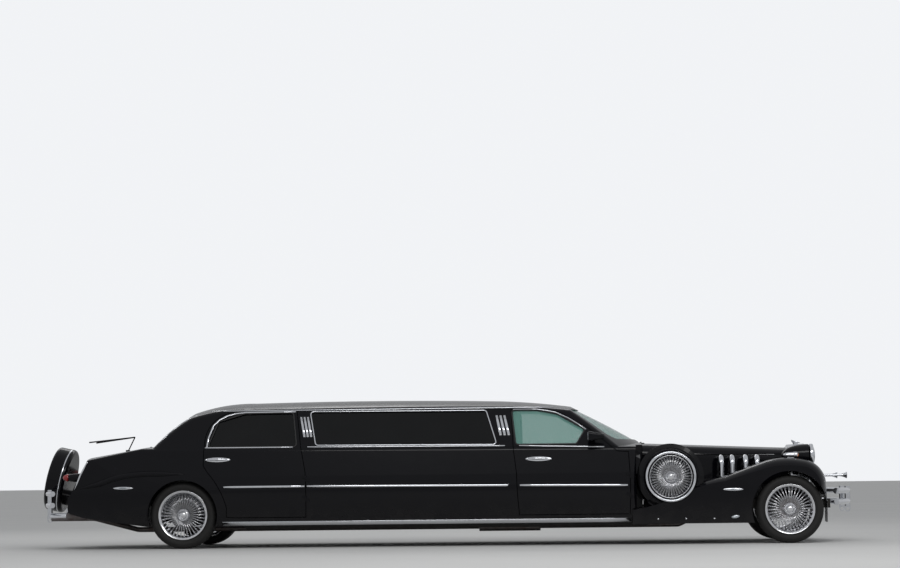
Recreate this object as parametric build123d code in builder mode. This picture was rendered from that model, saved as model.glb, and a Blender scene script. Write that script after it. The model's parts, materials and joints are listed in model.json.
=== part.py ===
from build123d import *

from math import cos, hypot, radians, sin, sqrt, tan
import os

os.makedirs("parts", exist_ok=True)

# Frame: +X to the front, +Y to the car's left, +Z up, origin under the middle of the whole car
# Driving dimensions, millimetres
WHEELBASE = 6050.0
REAR_OVERHANG = 1585.0
FRONT_OVERHANG = 686.0
HALF_WIDTH = 985.0
ROOF_HEIGHT = 1484.0
TYRE_RADIUS = 336.0
TYRE_WIDTH = 225.0
TRACK = 1636.0

# Body levels, heights above the ground
SILL_BOTTOM = 215.0
SILL_TOP = 300.0
FLOOR_TOP = 282.0
BELT_HEIGHT = 990.0
DOOR_TOP = 1378.0
ROOF_SPLIT = 1375.0
SILL_SPLIT = 322.0
COWL_SPLIT = -2450.0
DASH_HALF = 800.0
CREASE_HEIGHT = 715.0

# Walls and gaps
BODY_WALL = 58.0
FLOOR_SHEET = 14.0
FOOT_GAP = 0.8
GLASS_DEPTH = 10.0
GLASS_SHEET = 6.0
PANEL_GAP = 7.0
SHOULDER_ROUND = 38.0
WINDOW_ROUND = 22.0
SEAT_GAP = 0.3
GLASS_FIT = 0.6
THRUST_GAP = 0.5

# Half-widths of the body at its levels
BELT_HALF = 920.0
CANT_HALF = 672.0
SILL_HALF = 945.0
SILL_FOOT_HALF = 900.0

# Doors
DOOR_TAPER = 15.0
PLUG_PLANE = 1000.0
PLUG_DEPTH = 460.0

# Hinges: each is a fixed knuckle and a moving one in line, with straps into their panels
FRONT_HINGE_X = -1575.0
REAR_HINGE_X = 1248.0
HINGE_Y = 985.0
DOOR_HINGE_FEET = (460.0, 660.0)
BONNET_HINGE_HEIGHT = 1020.0
BOOT_HINGE_HEIGHT = 1029.0
LID_HINGE_Y = 200.0
HINGE_RADIUS = 7.0
HINGE_HEIGHT = 30.0
HINGE_DEPTH = 24.0
DOOR_STRAP_RISE = 3.0
LID_STRAP_RISE = -4.0

# Door mirrors
MIRROR_REAR = -1985.0
MIRROR_FRONT = -1827.0
MIRROR_Y = 1010.0
MIRROR_WIDTH = 180.0
MIRROR_HEIGHT = 1078.0

# Boot and rear wheelhouses
BOOT_HALF = 640.0
BOOT_FRONT = -436.0
BOOT_SILL = 700.0
TUB_INNER = 650.0
TUB_SHEET = 12.0

# Bonnet, radiator and front wings
BONNET_REAR_HALF = 690.0
BONNET_FRONT_HALF = 300.0
BONNET_SHEET = 14.0
BONNET_SPLIT = 885.0
BONNET_SIDE_FOOT = 440.0
BONNET_REAR = -1448.0
BONNET_REAR_TOP = 1013.0
BONNET_FRONT_TOP = 953.0
BONNET_FRONT = 45.0
WING_INNER = 300.0
WING_OUTER = 968.0
WING_REAR = -1556.0
WING_TAIL = 352.0
WING_SHEET = 14.0
WING_BOTTOM = 205.0
ARCH_RADIUS = 376.0
REAR_ARCH_RADIUS = 350.0
RADIATOR_HALF = 308.0
RADIATOR_TOP = 983.0
RADIATOR_BOTTOM = 470.0
RADIATOR_DEPTH = 190.0
RADIATOR_LEAN = 3.0
RADIATOR_FRAME = 42.0
GRILLE_BARS = 17
GRILLE_BAR_WIDTH = 10.0
TAIL_LAMP_Y = 745.0
TAIL_LAMP_HEIGHT = 723.0
BUMPER_HALF = 800.0

# Wheels and axles
RIM_RADIUS = 246.0
HUB_RADIUS = 46.0
STUB_RADIUS = 24.0
SPOKE_COUNT = 20
SPOKE_WIDTH = 6.0
STUB_REACH = 60.0
HUB_INNER = 22.0
HUB_OUTER = 118.0
KINGPIN_Y = 800.0

# Side-mounted and rear spare wheels
SPARE_X = -1172.0
SPARE_HEIGHT = 668.0
SPARE_RADIUS = 328.0
SPARE_WIDTH = 190.0
SPARE_FACE_Y = 945.0
SPARE_DISC_RADIUS = 238.0
COVER_HEIGHT = 705.0
COVER_RADIUS = 332.0
COVER_DEPTH = 190.0
COVER_TILT = 13.0
COVER_ROUND = 34.0
CARRIER_RADIUS = 82.0
CARRIER_RISE = 165.0

# Radiator, lamps and bumpers
RADIATOR_REAR = 52.0
PIPE_RADIUS = 27.0
PIPE_PLACES = (-650.0, -538.0, -402.0, -284.0)
PIPE_HEIGHT = 858.0
PIPE_BEND = 70.0
HEADLAMP_Y = 450.0
HEADLAMP_HEIGHT = 867.0
HEADLAMP_RADIUS = 114.0
WING_LAMP_Y = 750.0
WING_LAMP_HEIGHT = 872.0
WING_LAMP_RADIUS = 29.0
HORN_Y = 450.0
HORN_HEIGHT = 665.0
BUMPER_TUBE = 30.0
BUMPER_UPPER = 510.0
BUMPER_LOWER = 400.0
REAR_BUMPER_UPPER = 562.0
REAR_BUMPER_LOWER = 446.0
EYE_RADIUS = 16.0
EYE_WALL = 12.0
EYE_THICK = 20.0
EYE_DROP = 32.0
PLATE_SPACING = 178.0
PLATE_HOLE = 3.5
PLATE_SHEET = 5.0

# Chassis
RAIL_HALF_Y = 450.0
RAIL_WIDTH = 60.0
RAIL_HEIGHT = 90.0
RAIL_REAR = -1115.0
RAIL_FRONT = 440.0
RAIL_REAR_FOOT = 366.0
RAIL_FRONT_FOOT = 340.0
KICK_TOP = 485.0
BOOT_FLOOR = 500.0
TUNNEL_FOOT = 120.0
TUNNEL_HEAD = 78.0
TUNNEL_TOP = 392.0
AXLE_TUBE = 42.0
DRUM_RADIUS = 140.0
LOWER_ARM = 240.0
ARM_SHEET = 24.0
BACKPLATE = 12.0
EXHAUST_LOW = 186.0
EXHAUST_TIP = 310.0
EXHAUST_Y = 560.0
STEERING_TILT = 25.0

SPARE_INNER = SPARE_FACE_Y - SPARE_WIDTH
CAR_LENGTH = REAR_OVERHANG + WHEELBASE + FRONT_OVERHANG
REAR_AXLE = REAR_OVERHANG - CAR_LENGTH / 2
FRONT_AXLE = REAR_AXLE + WHEELBASE
AXLE_HEIGHT = TYRE_RADIUS
WHEEL_Y = TRACK / 2
CABIN_MIDDLE = (REAR_AXLE + 640 + FRONT_AXLE - 2877) / 2

# The half width at which the crown and plan curve of each outline point is measured
CROWN_AT = 600.0
LOFT_PLACES = (-1000, -500, 0, 500, 1000)


def rear(x):
    """A place along the car, measured from the rear axle."""
    return REAR_AXLE + x


def front(x):
    """A place along the car, measured from the front axle."""
    return FRONT_AXLE + x


def below_roof(drop):
    """A height, measured down from the top of the roof."""
    return ROOF_HEIGHT - drop


def drawn_in(points, inset):
    """An outline that runs forwards over the car, moved inwards by inset at each of its points."""
    moved = []
    for i, (x, z) in enumerate(points):
        behind = points[max(i - 1, 0)]
        ahead = points[min(i + 1, len(points) - 1)]
        run = ahead[0] - behind[0]
        rise = ahead[1] - behind[1]
        moved.append((x + inset * rise / hypot(run, rise), z - inset * run / hypot(run, rise)))
    return moved


def cabin_solid(inset):
    """The glasshouse as a closed block, drawn in by inset on every side."""
    # Columns: x, z, crown drop at CROWN_AT, for the ends and the middles of the arcs
    outline = [
        (rear(-345), BELT_HEIGHT + 45, 30),
        (rear(-180), below_roof(263), 45),
        (rear(42), below_roof(100), 55),
        (rear(270), below_roof(40), 62),
        (rear(640), below_roof(11), 72),
        (CABIN_MIDDLE, ROOF_HEIGHT, 74),
        (front(-2877), below_roof(19), 62),
        (front(-2480), below_roof(46), 50),
        (front(-2160), below_roof(84), 42),
        (front(-1822), below_roof(252), 75),
        (front(-1470), BELT_HEIGHT + 45, 80),
    ]
    foot = BELT_HEIGHT - 290
    with BuildPart() as block:
        for y in LOFT_PLACES:
            share = (y / CROWN_AT) ** 2
            p = drawn_in([(x, z - drop * share) for x, z, drop in outline], inset)
            with BuildSketch(Plane.XZ.offset(-y)):
                with BuildLine():
                    for i in (0, 2, 4, 6, 8):
                        ThreePointArc(p[i], p[i + 1], p[i + 2])
                    Polyline(p[10], (p[10][0], foot), (p[0][0], foot), p[0])
                make_face()
        loft()
        with BuildSketch(Plane.YZ.offset(rear(-700))):
            lean = (BELT_HALF - CANT_HALF) / (DOOR_TOP - BELT_HEIGHT)
            foot_half = BELT_HALF - 6
            high = CANT_HALF - 6 - lean * 120
            with BuildLine():
                Polyline((0, BELT_HEIGHT - 300), (foot_half, BELT_HEIGHT - 300), (foot_half, BELT_HEIGHT),
                         (high, DOOR_TOP + 120), (0, DOOR_TOP + 120))
                mirror(about=Plane.YZ)
            make_face()
            if inset:
                offset(amount=-inset, kind=Kind.INTERSECTION)
        extrude(amount=WHEELBASE + 200, mode=Mode.INTERSECT)
        cant = block.edges().filter_by(
            lambda e: e.center().Z > BELT_HEIGHT + 10 and abs(e.center().Y) > 550
            and e.length > 150 and abs(e.tangent_at(0.5).X) > 0.2
        )
        fillet(cant, 75 - inset * 0.6)
    return block.part


def lower_solid(inset):
    """The body below the glass as a closed block, open below when it is drawn in."""
    open_foot = SILL_BOTTOM - 3 * inset
    # Columns: x, z, crown drop and plan shift at CROWN_AT
    outline = [
        (front(BONNET_REAR), BELT_HEIGHT + 33, 22, 0),
        (rear(-424), BELT_HEIGHT + 42, 12, 0),
        (rear(-1025), BELT_HEIGHT - 56, 16, 25),
        (rear(-1238), 540, 0, 40),
        (rear(-1259), 525, 0, 40),
        (rear(-1259), 371, 0, 40),
        (rear(-1014), 319 - 3 * inset, 0, 0),
        (rear(-367), 224 - 3 * inset, 0, 0),
        (rear(400), open_foot, 0, 0),
        (front(BONNET_REAR), open_foot, 0, 0),
    ]
    with BuildPart() as block:
        for y in LOFT_PLACES:
            share = (y / CROWN_AT) ** 2
            p = [(x + shift * share, z - drop * share) for x, z, drop, shift in outline]
            with BuildSketch(Plane.XZ.offset(-y)):
                with BuildLine():
                    Polyline(*p, close=True)
                make_face()
                if inset:
                    offset(amount=-inset, kind=Kind.INTERSECTION)
        loft()
        with BuildSketch(Plane.YZ.offset(rear(-1400))):
            with BuildLine():
                Polyline((0, SILL_BOTTOM - 150), (SILL_FOOT_HALF, SILL_BOTTOM - 150),
                         (SILL_FOOT_HALF, SILL_BOTTOM),
                         (SILL_HALF, SILL_BOTTOM + 45))
                ThreePointArc((SILL_HALF, SILL_BOTTOM + 45), (HALF_WIDTH - 6, CREASE_HEIGHT - 260),
                              (HALF_WIDTH, CREASE_HEIGHT - 100))
                Polyline((HALF_WIDTH, CREASE_HEIGHT - 100), (HALF_WIDTH - 9, CREASE_HEIGHT),
                         (BELT_HALF - 23, BELT_HEIGHT + 110), (0, BELT_HEIGHT + 110))
                mirror(about=Plane.YZ)
            make_face()
            if inset:
                offset(amount=-inset, kind=Kind.INTERSECTION)
        extrude(amount=WHEELBASE + 400, mode=Mode.INTERSECT)
        with BuildSketch(Plane.XY.offset(50)):
            with BuildLine():
                Polyline((front(BONNET_REAR) + 3, 0), (front(BONNET_REAR) + 3, SPARE_INNER - 20),
                         (front(SPARE_X - SPARE_RADIUS) - 12, SPARE_INNER - 10),
                         (front(SPARE_X - SPARE_RADIUS) - 12, BELT_HALF), (front(SPARE_X - SPARE_RADIUS) - 44, 1000),
                         (rear(400), 1000), (rear(-700), 968),
                         (rear(-1300), 885), (rear(-1300), 0))
                mirror(about=Plane.XZ)
            make_face()
            if inset:
                offset(amount=-inset, kind=Kind.INTERSECTION)
        extrude(amount=1200, mode=Mode.INTERSECT)
        if not inset:
            shoulders = block.edges().filter_by(
                lambda e: e.center().Z > BELT_HEIGHT - 130 and abs(e.center().Y) > 700
                and e.length > 300 and abs(e.tangent_at(0.5).X) > 0.5
                and e.bounding_box().max.Z > BELT_HEIGHT - 70
            )
            fillet(shoulders, SHOULDER_ROUND)
    return block.part


def skin_half(z):
    """Half the width of the body's skin at a height."""
    if z < BELT_HEIGHT:
        return HALF_WIDTH - 9
    return BELT_HALF - (BELT_HALF - CANT_HALF) * (z - BELT_HEIGHT) / (DOOR_TOP - BELT_HEIGHT)


def plug_corners(corners, inset):
    """Corners of a door on the skin, moved out to the plane from which its tapered plug starts."""
    slope = tan(radians(DOOR_TAPER))
    moved = []
    for x, z, push_x, push_z in corners:
        spread = (PLUG_PLANE - skin_half(z)) * slope - inset
        moved.append((x + push_x * spread, z + push_z * spread))
    return moved


def front_door_plug(inset):
    """The plug of a left front door, smaller than its opening by inset."""
    # Columns: x, z, push along X and Z for one millimetre of spread
    corners = plug_corners([
        (front(-2680), SILL_TOP, -1, -1),
        (front(-2700), CREASE_HEIGHT, -1, 0),
        (front(-2735), BELT_HEIGHT, -1, 0),
        (front(-2780), DOOR_TOP, -1, 1),
        (front(-2490), DOOR_TOP, 0.15, 1),
        (front(-2275), DOOR_TOP - 42, 0.35, 0.95),
        (front(-1975), DOOR_TOP - 215, 0.58, 0.82),
        (front(-1745), BELT_HEIGHT - 5, 0.6, 0.8),
        (front(-1690), BELT_HEIGHT - 50, 0.4, 1),
        (front(-1575), BELT_HEIGHT - 58, 1, 1),
        (front(-1575), SILL_TOP, 1, -1),
    ], inset)
    with BuildPart() as plug:
        with BuildSketch(Plane.XZ.offset(-PLUG_PLANE)):
            with BuildLine():
                Polyline(*corners, close=True)
            make_face()
        extrude(amount=PLUG_DEPTH, taper=DOOR_TAPER)
    return plug.part


def rear_door_plug(inset):
    """The plug of a left rear door, cut round the rear wheel arch, smaller than its opening by inset."""
    arch = REAR_ARCH_RADIUS + 103
    # Columns: x, z, push along X and Z for one millimetre of spread
    corners = plug_corners([
        (rear(440), SILL_TOP, -1, -1),
        (rear(sqrt(arch ** 2 - 60 ** 2)), AXLE_HEIGHT + 60, -1, -0.1),
        (rear(390), AXLE_HEIGHT + sqrt(arch ** 2 - 390 ** 2), -0.86, -0.5),
        (rear(250), CREASE_HEIGHT + 45, -0.8, -0.5),
        (rear(205), CREASE_HEIGHT + 110, -1, -0.2),
        (rear(215), BELT_HEIGHT + 20, -1, 0),
        (rear(290), DOOR_TOP - 105, -0.9, 0.4),
        (rear(470), DOOR_TOP - 12, -0.3, 0.95),
        (rear(650), DOOR_TOP, 0, 1),
        (rear(1130), DOOR_TOP, 1, 1),
        (rear(1190), BELT_HEIGHT + 10, 1, 0),
        (rear(1240), CREASE_HEIGHT + 35, 1, 0),
        (rear(1248), SILL_TOP, 1, -1),
    ], inset)
    with BuildPart() as plug:
        with BuildSketch(Plane.XZ.offset(-PLUG_PLANE)):
            with BuildLine():
                Line(corners[0], corners[1])
                ThreePointArc(corners[1], corners[2], corners[3])
                Polyline(*corners[3:6])
                ThreePointArc(corners[5], corners[6], corners[7])
                Polyline(*corners[7:], corners[0])
            make_face()
        extrude(amount=PLUG_DEPTH, taper=DOOR_TAPER)
    return plug.part


def window_prism(corners, inset):
    """A side window's outline as a prism through the left wall, smaller than its hole by inset."""
    with BuildPart() as prism:
        with BuildSketch(Plane.XZ.offset(-PLUG_PLANE)):
            with BuildLine():
                FilletPolyline(*corners, radius=WINDOW_ROUND, close=True)
            make_face()
            if inset:
                offset(amount=-inset, kind=Kind.INTERSECTION)
        extrude(amount=PLUG_DEPTH)
    return prism.part


def screen_prism(x, depth, low, high, inset):
    """A windscreen or rear window as a prism along the car; low and high are its (half width, height)."""
    corners = [low, high, (-high[0], high[1]), (-low[0], low[1])]
    with BuildPart() as prism:
        with BuildSketch(Plane.YZ.offset(x)):
            with BuildLine():
                FilletPolyline(*corners, radius=WINDOW_ROUND + 20, close=True)
            make_face()
            if inset:
                offset(amount=-inset, kind=Kind.INTERSECTION)
        extrude(amount=depth)
    return prism.part


def both_sides(piece):
    """A piece of the left side and its mirror image on the right."""
    with BuildPart() as pair:
        add(piece)
        add(mirror(piece, about=Plane.XZ))
    return pair.part


def above(z):
    """Everything above a height, as a block to cut with."""
    with BuildPart(Plane.XY.offset(z)) as block:
        Box(2 * CAR_LENGTH, 4000, 2000, align=(Align.CENTER, Align.CENTER, Align.MIN))
    return block.part


def below(z):
    """Everything below a height, as a block to cut with."""
    with BuildPart(Plane.XY.offset(z)) as block:
        Box(2 * CAR_LENGTH, 4000, 2000, align=(Align.CENTER, Align.CENTER, Align.MAX))
    return block.part


def along(x_from, x_to):
    """Everything between two places along the car, as a block to cut with."""
    with BuildPart(Plane.YZ.offset(x_from)) as block:
        Box(3000, 4000, x_to - x_from, align=(Align.CENTER, Align.CENTER, Align.MIN))
    return block.part


# Outlines of the windows in the skin, left side
REAR_DOOR_WINDOW = [
    (rear(258), BELT_HEIGHT + 30), (rear(345), DOOR_TOP - 112), (rear(600), DOOR_TOP - 34),
    (rear(1085), DOOR_TOP - 30), (rear(1138), BELT_HEIGHT + 28),
]
FRONT_DOOR_WINDOW = [
    (front(-2700), BELT_HEIGHT + 22), (front(-2742), DOOR_TOP - 30), (front(-2500), DOOR_TOP - 32),
    (front(-2300), DOOR_TOP - 70), (front(-2022), DOOR_TOP - 228), (front(-2105), BELT_HEIGHT + 22),
]
CENTRE_WINDOW = [
    (rear(1345), BELT_HEIGHT + 38), (rear(1272), DOOR_TOP - 22),
    (front(-3012), DOOR_TOP - 30), (front(-2905), BELT_HEIGHT + 26),
]
WINDSCREEN_LOW = (775, BELT_HEIGHT + 62)
WINDSCREEN_HIGH = (595, DOOR_TOP - 18)
BACKLIGHT_LOW = (600, BELT_HEIGHT + 85)
BACKLIGHT_HIGH = (500, DOOR_TOP - 50)

def bonnet_half(x):
    """Half the width of the bonnet at a place measured from the front axle."""
    share = (x - BONNET_REAR) / (BONNET_FRONT - BONNET_REAR)
    return BONNET_REAR_HALF + (BONNET_FRONT_HALF - BONNET_REAR_HALF) * share


# Front wings: a flowing crest, lower towards both edges, hollow from below
def wing_block(inset):
    """The left front wing as a block; drawn in, it is the hollow under the sheet."""
    # Columns: x, z, plan shift at the outer edge
    crest = [
        (front(WING_REAR), WING_TAIL - 2, 0),
        (front(-1330), 405, 0),
        (front(-1120), 500, 0),
        (front(-880), 612, 0),
        (front(-640), 668, 0),
        (front(-430), 745, 0),
        (front(-230), 815, 0),
        (front(-10), 843, 0),
        (front(190), 818, -20),
        (front(330), 728, -60),
        (front(383), 600, -75),
        (front(394), 330, -75),
    ]
    # Columns: distance from the middle of the car, drop of the crest at full height, share of the plan shift
    ribs = [
        (WING_INNER + inset * 0, 250, 0),
        (430, 165, 0),
        (570, 50, 0),
        (740, 0, 0.1),
        (900, 22, 0.5),
        (WING_OUTER - inset, 75, 1),
    ]
    foot = WING_BOTTOM - 3 * inset
    with BuildPart() as block:
        for y, drop, plan in ribs:
            lowered = []
            for x, z, shift in crest:
                lowered.append((x + shift * plan, z - drop * (z - 300) / 543))
            p = drawn_in(lowered, inset)
            with BuildSketch(Plane.XZ.offset(-y)):
                with BuildLine():
                    for i in (0, 2, 4, 6, 8):
                        ThreePointArc(p[i], p[i + 1], p[i + 2])
                    Polyline(p[10], p[11], (p[11][0], foot), (p[0][0], foot), p[0])
                make_face()
        loft()
    return block.part


def beside_bonnet(gap):
    """The plan of bonnet and radiator, as a block the wings are trimmed against."""
    with BuildPart() as block:
        with BuildSketch():
            with BuildLine():
                Polyline((front(WING_REAR) - 50, 0), (front(WING_REAR) - 50, bonnet_half(WING_REAR - 50) + gap),
                         (front(BONNET_FRONT), BONNET_FRONT_HALF + gap), (front(RADIATOR_REAR), RADIATOR_HALF + gap),
                         (front(RADIATOR_REAR) + RADIATOR_DEPTH + 20, RADIATOR_HALF + gap),
                         (front(RADIATOR_REAR) + RADIATOR_DEPTH + 20, 0))
                mirror(about=Plane.XZ)
            make_face()
        extrude(amount=1200)
    return block.part


def tunnel_block(grow, past):
    """The shaft tunnel's inside as a block, grown by its sheet or a clearance, past the firewall or up to it."""
    with BuildPart() as block:
        with BuildSketch(Plane.YZ.offset(rear(300))):
            with BuildLine():
                Polyline((TUNNEL_FOOT + grow, FLOOR_TOP - FLOOR_SHEET), (TUNNEL_HEAD + grow, TUNNEL_TOP + grow),
                         (-TUNNEL_HEAD - grow, TUNNEL_TOP + grow), (-TUNNEL_FOOT - grow, FLOOR_TOP - FLOOR_SHEET),
                         close=True)
            make_face()
        extrude(amount=front(BONNET_REAR) - 1 + past - rear(300))
    return block.part


# Both front wings as blocks, lifted a little, to fit what stands on them or passes over them
with BuildPart() as wing_seat:
    add(wing_block(0).moved(Location((0, 0, FOOT_GAP))))
    add(beside_bonnet(0), mode=Mode.SUBTRACT)
wing_feet = both_sides(wing_seat.part)

# The whole shell, from which the panels are split
with BuildPart() as shell:
    add(cabin_solid(0))
    add(lower_solid(0))
    add(cabin_solid(BODY_WALL - 14), mode=Mode.SUBTRACT)
    add(lower_solid(BODY_WALL), mode=Mode.SUBTRACT)

with BuildPart() as glass_layer:
    add(cabin_solid(GLASS_DEPTH))
    add(cabin_solid(GLASS_DEPTH + GLASS_SHEET), mode=Mode.SUBTRACT)

def save(piece, name):
    """Write a finished piece under its name."""
    piece.part.label = name
    export_step(piece.part, f"parts/{name}.step")


def save_sides(piece, name):
    """Write a left piece and its mirror image as two files."""
    with BuildPart() as right:
        add(mirror(piece.part, about=Plane.XZ))
    save(piece, f"{name}_left")
    save(right, f"{name}_right")


def hinge_half(plane, low, strap, rise):
    """A knuckle and its strap, on a plane with its origin on the hinge line; strap is +1 or -1 along x."""
    with BuildPart() as half:
        with BuildSketch(plane.offset(low)):
            Circle(HINGE_RADIUS)
            with Locations((0, rise)):
                Rectangle(36, HINGE_DEPTH, align=(Align.MIN if strap > 0 else Align.MAX, Align.MAX))
        extrude(amount=HINGE_HEIGHT)
    return half.part


def hinge_room(plane, low, strap_edge=0):
    """The recess that a knuckle, and the edge of its strap, need in the panel across the gap."""
    with BuildPart() as room:
        with BuildSketch(plane.offset(low - THRUST_GAP)):
            Circle(HINGE_RADIUS + 1)
            if strap_edge:
                with Locations((THRUST_GAP, 0)):
                    Rectangle(strap_edge, HINGE_DEPTH, align=(Align.MAX, Align.MAX))
        extrude(amount=HINGE_HEIGHT + 2 * THRUST_GAP)
    return room.part


def door_hinge_plane(x):
    """The hinge line of a left door, its sketch x to the front and y outwards."""
    return Plane(origin=(x, HINGE_Y, 0), x_dir=(1, 0, 0), z_dir=(0, 0, 1))


def lid_hinge_plane(x, y, z):
    """A lid's hinge line across the car, its sketch x to the front and y upwards."""
    return Plane(origin=(x, y, z), x_dir=(1, 0, 0), z_dir=(0, -1, 0))


# Doors: the shell inside each plug, with the window cut
doors = []
for name, plug, window, hinge_x in (
    ("front", front_door_plug, FRONT_DOOR_WINDOW, front(FRONT_HINGE_X)),
    ("rear", rear_door_plug, REAR_DOOR_WINDOW, rear(REAR_HINGE_X)),
):
    with BuildPart() as door:
        add(shell.part)
        add(plug(PANEL_GAP / 2), mode=Mode.INTERSECT)
        add(window_prism(window, 0), mode=Mode.SUBTRACT)
        for low in DOOR_HINGE_FEET:
            add(hinge_room(door_hinge_plane(hinge_x), low), mode=Mode.SUBTRACT)
            add(hinge_half(door_hinge_plane(hinge_x), low + HINGE_HEIGHT + SEAT_GAP, -1, DOOR_STRAP_RISE))
    with BuildPart() as pane:
        add(glass_layer.part)
        add(window_prism(window, GLASS_FIT), mode=Mode.INTERSECT)
    doors.append((name, door, pane))
front_door = doors[0][1]

# Door mirror: a rounded shell on a foot at the front door's window tip
with BuildPart() as mirror_shell:
    with BuildSketch(Plane.YZ.offset(front(MIRROR_REAR))):
        with Locations((MIRROR_Y, MIRROR_HEIGHT)):
            RectangleRounded(MIRROR_WIDTH, 98, 28)
    with BuildSketch(Plane.YZ.offset(front(MIRROR_FRONT))):
        with Locations((MIRROR_Y - 12, MIRROR_HEIGHT - 4)):
            RectangleRounded(MIRROR_WIDTH - 70, 48, 20)
    loft()
    with BuildSketch(Plane.XZ.offset(-(MIRROR_Y - MIRROR_WIDTH / 2 + 20))):
        with Locations((front(MIRROR_REAR + 40), MIRROR_HEIGHT - 13)):
            RectangleRounded(60, 44, 14)
    extrude(amount=95)

with BuildPart() as front_door:
    add(doors[0][1].part)
    add(mirror_shell.part)
save_sides(front_door, "door_front")
save_sides(doors[1][1], "door_rear")
for name, door, pane in doors:
    save_sides(pane, f"glass_{name}")

# The shell without its door and window openings, split into panels
with BuildPart() as body:
    add(shell.part)
    add(screen_prism(front(-2350), 1050, WINDSCREEN_LOW, WINDSCREEN_HIGH, 0), mode=Mode.SUBTRACT)
    add(screen_prism(rear(-600), 850, BACKLIGHT_LOW, BACKLIGHT_HIGH, 0), mode=Mode.SUBTRACT)
    add(both_sides(window_prism(CENTRE_WINDOW, 0)), mode=Mode.SUBTRACT)
    for opening in (front_door_plug(-PANEL_GAP / 2), rear_door_plug(-PANEL_GAP / 2)):
        add(both_sides(opening), mode=Mode.SUBTRACT)

with BuildPart() as roof_panel:
    add(body.part)
    add(above(ROOF_SPLIT), mode=Mode.INTERSECT)
save(roof_panel, "roof_panel")

with BuildPart() as sills:
    add(body.part)
    add(below(SILL_SPLIT), mode=Mode.INTERSECT)
    add(along(rear(400), front(-1560)), mode=Mode.INTERSECT)
save(sills, "sills")

with BuildPart() as side_panels:
    add(body.part)
    add(above(ROOF_SPLIT), mode=Mode.SUBTRACT)
    add(sills.part, mode=Mode.SUBTRACT)

with BuildPart() as centre_panels:
    add(side_panels.part)
    add(along(rear(900), front(COWL_SPLIT)), mode=Mode.INTERSECT)
    for low in DOOR_HINGE_FEET:
        knuckle_foot = low + HINGE_HEIGHT + SEAT_GAP
        add(both_sides(hinge_room(door_hinge_plane(rear(REAR_HINGE_X)), knuckle_foot, 12)), mode=Mode.SUBTRACT)
        add(both_sides(hinge_half(door_hinge_plane(rear(REAR_HINGE_X)), low, 1, DOOR_STRAP_RISE)))
save(centre_panels, "centre_panels")

# Cowl: windscreen pillars, scuttle, body sides ahead of the doors and the firewall
with BuildPart() as cowl:
    add(side_panels.part)
    add(along(front(COWL_SPLIT), front(BONNET_REAR + 100)), mode=Mode.INTERSECT)
    add(below(FLOOR_TOP + GLASS_FIT), mode=Mode.SUBTRACT)
    add(tunnel_block(FLOOR_SHEET + GLASS_FIT, 20), mode=Mode.SUBTRACT)
    # Room for the wings' tails and for the side spares
    for side in (1, -1):
        with BuildSketch(Plane.XZ.offset(-side * HALF_WIDTH)):
            with BuildLine():
                Polyline((front(WING_REAR) - SEAT_GAP, 0), (front(WING_REAR) - SEAT_GAP, WING_TAIL + 1),
                         (front(BONNET_REAR) + 60, WING_TAIL + 72), (front(BONNET_REAR) + 60, 0), close=True)
            make_face()
        extrude(amount=side * (HALF_WIDTH - 650), mode=Mode.SUBTRACT)
        with BuildSketch(Plane.XZ.offset(-side * (SPARE_INNER - 6))):
            with Locations((front(SPARE_X), SPARE_HEIGHT)):
                Circle(SPARE_RADIUS + 6)
        extrude(amount=-side * 300, mode=Mode.SUBTRACT)
    for low in DOOR_HINGE_FEET:
        knuckle_foot = low + HINGE_HEIGHT + SEAT_GAP
        add(both_sides(hinge_room(door_hinge_plane(front(FRONT_HINGE_X)), knuckle_foot)), mode=Mode.SUBTRACT)
        add(both_sides(hinge_half(door_hinge_plane(front(FRONT_HINGE_X)), low, 1, DOOR_STRAP_RISE)))
    bonnet_line = front(BONNET_REAR) + PANEL_GAP / 2
    for y in (LID_HINGE_Y, -LID_HINGE_Y):
        line = lid_hinge_plane(bonnet_line, y, BONNET_HINGE_HEIGHT)
        add(hinge_room(line, HINGE_HEIGHT + SEAT_GAP), mode=Mode.SUBTRACT)
        add(hinge_half(line, 0, -1, LID_STRAP_RISE))
save(cowl, "cowl")

# Boot opening in the tail, with the lid inside it
def boot_block(inset):
    """The block that parts the boot lid from the rear body."""
    with BuildPart() as block:
        with BuildSketch(Plane.XZ.offset(-(BOOT_HALF - inset))):
            with BuildLine():
                Polyline((rear(BOOT_FRONT) - inset, 1200), (rear(BOOT_FRONT) - inset, BOOT_SILL + inset),
                         (rear(-1500), BOOT_SILL + inset), (rear(-1500), 1200), close=True)
            make_face()
        extrude(amount=2 * (BOOT_HALF - inset))
    return block.part


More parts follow.
